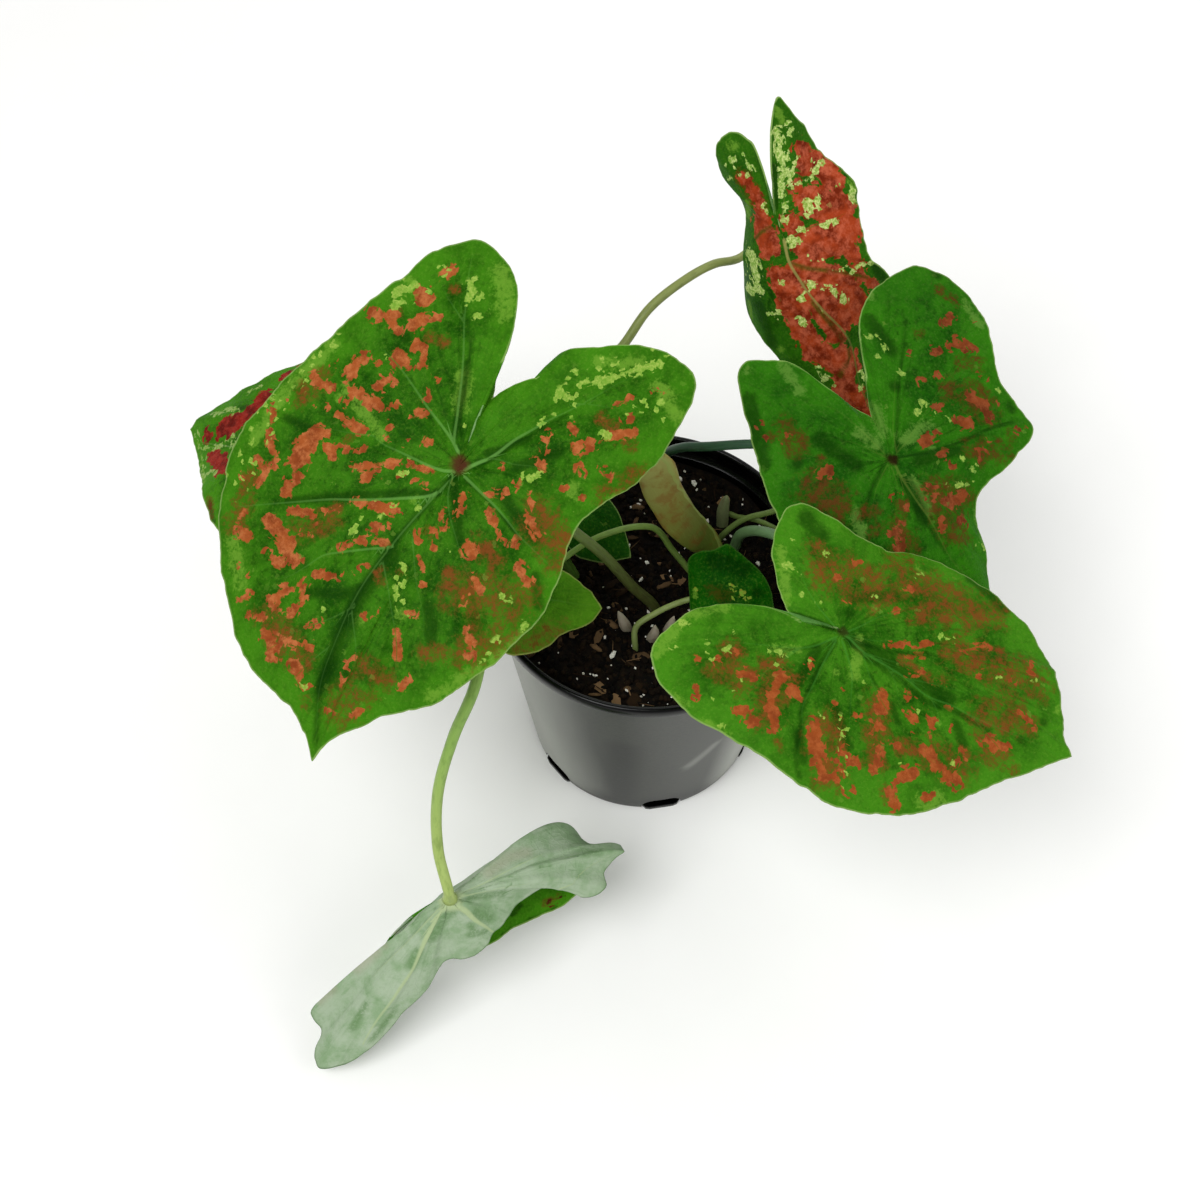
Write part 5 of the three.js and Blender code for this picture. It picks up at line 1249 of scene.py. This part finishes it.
def build_shoot(name, flat, text):
    path, radii = np.split(read_points(text), [3], axis=1)
    centres, marks, knots = even_points([root_of(path[0]), *path], SHOOT_STEP)
    radii = [radii[0, 0] * 0.8, *radii[:, 0]]
    sides, slot, lap = (48, "petiole", 0.18) if name == "furled_leaf" else (24, "sprout", 0.1)

    def radius_of(mark):
        rounded = min(1, math.sqrt((marks[-1] - mark + 0.05) / SHOOT_TIP_LENGTH))
        return max(SHOOT_LEAST_RADIUS, float(np.interp(mark, knots, radii)) * rounded)

    build_tube(f"{name}_skin", centres, marks, faced_frames(centres), radius_of, sides, shoot_material(name),
               name, slot, flat, lap)


# ---------------------------------------------------------------- pot


def wall_radius(z):
    return POT_HEEL_RADIUS + (POT_NECK_RADIUS - POT_HEEL_RADIUS) * z / LIP_FOOT


def inner_radius(z):
    return wall_radius(z) - POT_WALL


def lathe(profile, sides):
    """Points and faces of a body of revolution, from radii and heights that start and end on the axis."""
    angles = 2 * math.pi * np.arange(sides) / sides
    rows = [np.column_stack([r * np.cos(angles), r * np.sin(angles), np.full(sides, z)])
            for r, z in profile[1:-1]]
    points = np.vstack([*rows, [[0, 0, profile[0][1]], [0, 0, profile[-1][1]]]])
    return points, ring_faces(len(rows), sides)


def apply_boolean(piece, tool, operation):
    modifier = piece.modifiers.new("cut", "BOOLEAN")
    modifier.object = tool
    modifier.operation = operation
    modifier.solver = "EXACT"
    graph = bpy.context.evaluated_depsgraph_get()
    mesh = bpy.data.meshes.new_from_object(piece.evaluated_get(graph))
    piece.modifiers.clear()
    piece.data = mesh
    bpy.data.objects.remove(tool)


def drain_axes():
    """The directions outwards and across at each drain."""
    for i in range(DRAIN_COUNT):
        angle = math.radians(DRAIN_FIRST_DEG + 360 * i / DRAIN_COUNT)
        c, s = math.cos(angle), math.sin(angle)
        yield np.array([c, s, 0]), np.array([-s, c, 0])


def drain_prisms(outline, inner, outer):
    """One prism for each drain, its outline of across and height drawn square to the radius."""
    points, faces = [], []
    for out, across in drain_axes():
        base, size = len(points), len(outline)
        for reach in (inner, outer):
            points += [out * reach + across * a + np.array([0, 0, z]) for a, z in outline]
        faces.append([base + k for k in range(size)][::-1])
        faces.append([base + size + k for k in range(size)])
        for k in range(size):
            n = (k + 1) % size
            faces.append([base + k, base + n, base + size + n, base + size + k])
    return points, faces


def drain_pads(plan):
    """A low foot in each drain, its plan drawn as distances across and along the radius."""
    points, faces = [], []
    for out, across in drain_axes():
        middle = out * (PAD_INNER_RADIUS + PAD_RADIUS) / 2
        base, size = len(points), len(plan)
        for z, share in ((0, 0.97), (PAD_HEIGHT - 0.4, 1), (PAD_HEIGHT, 0.95)):
            up = np.array([0, 0, z])
            points += [middle + share * (out * r + across * a - middle) + up for a, r in plan]
        faces.append([base + k for k in range(size)])
        faces.append([base + 2 * size + k for k in range(size)][::-1])
        for low in (base, base + size):
            faces += [[low + k, low + size + k, low + size + (k + 1) % size, low + (k + 1) % size]
                      for k in range(size)]
    return points, faces


def pot_profile():
    """Radius and height round the section, from the axis under the pot, over the lip and in to the floor."""
    rim = POT_RIM_RADIUS
    outer_wall = [(wall_radius(z), z) for z in np.linspace(1.8, LIP_FOOT - 0.3, 34)]
    bead = [(rim - LIP_ROUND + LIP_ROUND * math.cos(a), POT_HEIGHT - LIP_ROUND + LIP_ROUND * math.sin(a))
            for a in np.linspace(0, math.pi, 9)]
    inner_wall = [(inner_radius(z), z) for z in np.linspace(LIP_INNER_FOOT, POT_FLOOR + 1, 24)]
    return [
        (0, 0.5), (POT_FOOT_RADIUS - 6, 0.5), (POT_FOOT_RADIUS - 5, 0), (POT_FOOT_RADIUS, 0),
        (POT_FOOT_RADIUS + 1.2, 0.3), (POT_HEEL_RADIUS, 0.9), *outer_wall,
        (wall_radius(LIP_FOOT) - 0.15, LIP_FOOT - 0.1), (wall_radius(LIP_FOOT) + 0.3, LIP_FOOT),
        (rim - 0.6, LIP_FOOT), (rim - 0.15, LIP_FOOT + 0.2), (rim, LIP_FOOT + 0.6), *bead,
        (rim - 2.3, POT_HEIGHT - 1.9), (rim - 2.45, POT_HEIGHT - 3.4), (rim - 2.7, LIP_INNER_FOOT + 1.2),
        (rim - 3.2, LIP_INNER_FOOT + 0.5), *inner_wall, (inner_radius(POT_FLOOR) - 1, POT_FLOOR),
        (0, POT_FLOOR),
    ]


def build_pot():
    materials = [black_material(), wall_material()]
    piece = make_piece("nursery_pot", *lathe(pot_profile(), POT_SIDES), materials)
    half = DRAIN_WIDTH / 2
    corners = [(math.cos(a), math.sin(a)) for a in np.linspace(0, math.pi, 17)[1:-1]]
    arch = [(-half, -1), (half, -1)]
    arch += [(half * math.copysign(abs(c) ** 0.6, c), DRAIN_TOP * s) for c, s in corners]
    cutter = make_piece("drain_cutter", *drain_prisms(arch, POT_HEEL_RADIUS - 4.9, POT_HEEL_RADIUS + 8), [])
    apply_boolean(piece, cutter, "DIFFERENCE")
    mesh = piece.data
    where = np.empty(len(mesh.vertices) * 3)
    mesh.vertices.foreach_get("co", where)
    x, y, z = where.reshape(-1, 3).T / MM
    reach = np.hypot(x, y)
    outside = (z < LIP_FOOT - 0.2) & (reach > wall_radius(z) - 0.05)
    kinds = [int(all(outside[i] for i in face.vertices)) for face in mesh.polygons]
    mesh.polygons.foreach_set("material_index", kinds)

    # The way round the wall is measured from the right, with its seam at the back.
    unrolled = np.column_stack([(np.arctan2(x, -y) - math.pi / 2) * WALL_MEAN_RADIUS, z, np.zeros(len(z))])
    for kind, text in WALL_MARKS.items():
        values = stroke_field(unrolled, read_strokes(text, 2), True).astype(np.float32)
        # The painted highlights keep to the lip's lower edge and to the top of its bead.
        if kind == "lip_highlight":
            values *= (np.abs(z - LIP_FOOT - 0.1) < 0.25) & (reach > POT_RIM_RADIUS - 0.7)
        if kind == "bead":
            values *= np.abs(reach - POT_RIM_RADIUS + 1.9) < 0.25
        mesh.attributes.new(kind, "FLOAT", "POINT").data.foreach_set("value", values)
    mesh.polygons.foreach_set("use_smooth", [True] * len(mesh.polygons))
    mesh.set_sharp_from_angle(angle=math.radians(POT_SHARP_DEG))
    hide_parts("pot")
    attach(piece, "root")
    plan = [(-half + 0.6, PAD_INNER_RADIUS), (half - 0.6, PAD_INNER_RADIUS), (half - 0.6, PAD_RADIUS - 1.6),
            (half - 1.5, PAD_RADIUS - 0.4), (half - 3, PAD_RADIUS), (3 - half, PAD_RADIUS),
            (1.5 - half, PAD_RADIUS - 0.4), (-half + 0.6, PAD_RADIUS - 1.6)]
    points, faces = drain_pads(plan)
    pads = make_piece("drain_pads", points, faces, materials[:1], None, None, None, "pot")
    pads.data.polygons.foreach_set("use_smooth", [False] * len(pads.data.polygons))


# ---------------------------------------------------------------- peat mix


def smoothstep(value, low, high):
    share = min(1.0, max(0.0, (value - low) / (high - low)))
    return share * share * (3 - 2 * share)


def soil_surface(x, y):
    swell = math.sin(x * 0.21 + 1) * math.cos(y * 0.17) + 0.6 * math.sin(x * 0.45 + y * 0.38)
    return SOIL_LEVEL + swell * 0.8 + SOIL_BANK * smoothstep(y, SOIL_BANK_START, SOIL_RADIUS)


def lump_template(levels):
    """Points and triangles of a ball of radius 1."""
    ball = bmesh.new()
    bmesh.ops.create_icosphere(ball, subdivisions=levels, radius=1)
    points = np.array([vertex.co[:] for vertex in ball.verts])
    faces = [[vertex.index for vertex in face.verts] for face in ball.faces]
    ball.free()
    return points, faces


class SoilMesh:
    """The points, faces, tints and materials of the peat mix as it is heaped up."""

    def __init__(self):
        self.points, self.faces, self.tint, self.material_of = [], [], [], []

    def bed(self, sides, rings):
        self.points.append((0, 0, soil_surface(0, 0)))
        for ring in range(1, rings + 1):
            for j in range(sides):
                angle = 2 * math.pi * j / sides
                x, y = (SOIL_RADIUS * ring / rings * part for part in (math.cos(angle), math.sin(angle)))
                rough = noise.fractal(Vector((x, y, 0)) * 0.35, 0.7, 2.0, 4) * SOIL_ROUGHNESS
                self.points.append((x, y, soil_surface(x, y) + rough * min(1, (rings - ring) / 2)))
        for j in range(sides):
            angle = 2 * math.pi * j / sides
            foot = (SOIL_FOOT_RADIUS * math.cos(angle), SOIL_FOOT_RADIUS * math.sin(angle), SOIL_BOTTOM)
            self.points.append(foot)
        self.points.append((0, 0, SOIL_BOTTOM))
        for j in range(sides):
            n = (j + 1) % sides
            self.faces.append((0, 1 + j, 1 + n))
            for ring in range(rings):
                a, b = 1 + ring * sides, 1 + (ring + 1) * sides
                self.faces.append((a + j, b + j, b + n, a + n))
            low = 1 + rings * sides
            self.faces.append((low + sides, low + n, low + j))
        self.tint = [0.25 + 0.5 * noise.noise(Vector(point) * 0.5) for point in self.points]
        self.material_of = [0] * len(self.faces)

    def scatter(self, draw, template, count, sizes, stretch, lift, shades, material):
        """Lumps strewn over the bed, each of a drawn size, shape, turn and shade."""
        for _ in range(count):
            reach = (SOIL_RADIUS - 2) * math.sqrt(draw.random())
            angle = 2 * math.pi * draw.random()
            size = draw.uniform(*sizes)
            axes = [size * draw.uniform(*limits) for limits in stretch]
            spin, tilt = 2 * math.pi * draw.random(), draw.uniform(-0.5, 0.5)
            seed = Vector((draw.uniform(0, 90), 0, 0))
            shade = draw.uniform(*shades)
            x, y = reach * math.cos(angle), reach * math.sin(angle)
            z = soil_surface(x, y) + axes[2] * lift
            start = len(self.points)
            for point in template[0]:
                a, b, c = point * (1 + 0.5 * noise.noise(Vector(point) * 1.7 + seed)) * axes
                b, c = b * math.cos(tilt) - c * math.sin(tilt), b * math.sin(tilt) + c * math.cos(tilt)
                a, b = a * math.cos(spin) - b * math.sin(spin), a * math.sin(spin) + b * math.cos(spin)
                self.points.append((x + a, y + b, z + c))
                self.tint.append(shade)
            self.faces += [tuple(start + i for i in face) for face in template[1]]
            self.material_of += [material] * len(template[1])


def build_soil():
    draw = random.Random(11)
    soil = SoilMesh()
    soil.bed(BED_SIDES, BED_RINGS)
    template = lump_template(1)
    for lumps in SOIL_LUMPS:
        soil.scatter(draw, template, *lumps)
    peat = peat_material()
    piece = make_piece("peat_mix_top", soil.points, soil.faces, [peat, perlite_material(), peat],
                       soil.material_of, {"tint": soil.tint}, "soil", "soil")
    piece.data.polygons.foreach_set("use_smooth", [kind == 0 for kind in soil.material_of])


# ---------------------------------------------------------------- studio


def aimed(name, data, place, target):
    """A lamp or camera at a place, turned towards the target."""
    made = bpy.data.objects.new(name, data)
    made.location = Vector(place) * MM
    made.rotation_euler = (Vector(target) - Vector(place)).to_track_quat("-Z", "Y").to_euler()
    bpy.context.scene.collection.objects.link(made)
    return made


def build_studio():
    steps = np.linspace(-FLOOR_SIZE / 2, FLOOR_SIZE / 2, FLOOR_TILES + 1)
    points = [(x, y, 0) for y in steps for x in steps]
    row = len(steps)
    faces = [(j * row + i, j * row + i + 1, (j + 1) * row + i + 1, (j + 1) * row + i)
             for j in range(FLOOR_TILES) for i in range(FLOOR_TILES)]
    make_piece("studio_floor", points, faces, [floor_material()])

    world = bpy.data.worlds.new("studio_world")
    world.use_nodes = True
    background = world.node_tree.nodes["Background"]
    background.inputs["Color"].default_value = (1, 1, 1, 1)
    background.inputs["Strength"].default_value = DOME_LIGHT
    bpy.context.scene.world = world

    for name, (place, width, power) in SOFTBOXES.items():
        lamp = bpy.data.lights.new(name, "AREA")
        lamp.size = width * MM
        lamp.energy = power
        aimed(name, lamp, place, LIGHT_TARGET)

    lens = bpy.data.cameras.new("photo_camera")
    lens.sensor_width = 36
    lens.lens = 18 / math.tan(math.radians(CAMERA_FOV_DEG / 2))
    lens.clip_start, lens.clip_end = 0.01, 20
    bpy.context.scene.camera = aimed("photo_camera", lens, CAMERA_PLACE, CAMERA_TARGET)
    bpy.context.scene.view_settings.view_transform = "Standard"


build_studio()
for leaf_name, leaf_table in LEAVES.items():
    build_blade(leaf_name, leaf_table)
    build_stalk(leaf_name, leaf_table)
for shoot_name, (shoot_flat, shoot_path) in SPROUTS.items():
    build_shoot(shoot_name, shoot_flat, shoot_path)
build_pot()
build_soil()
skin = tuber_material()
for material_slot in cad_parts["tuber"].material_slots:
    material_slot.material = skin
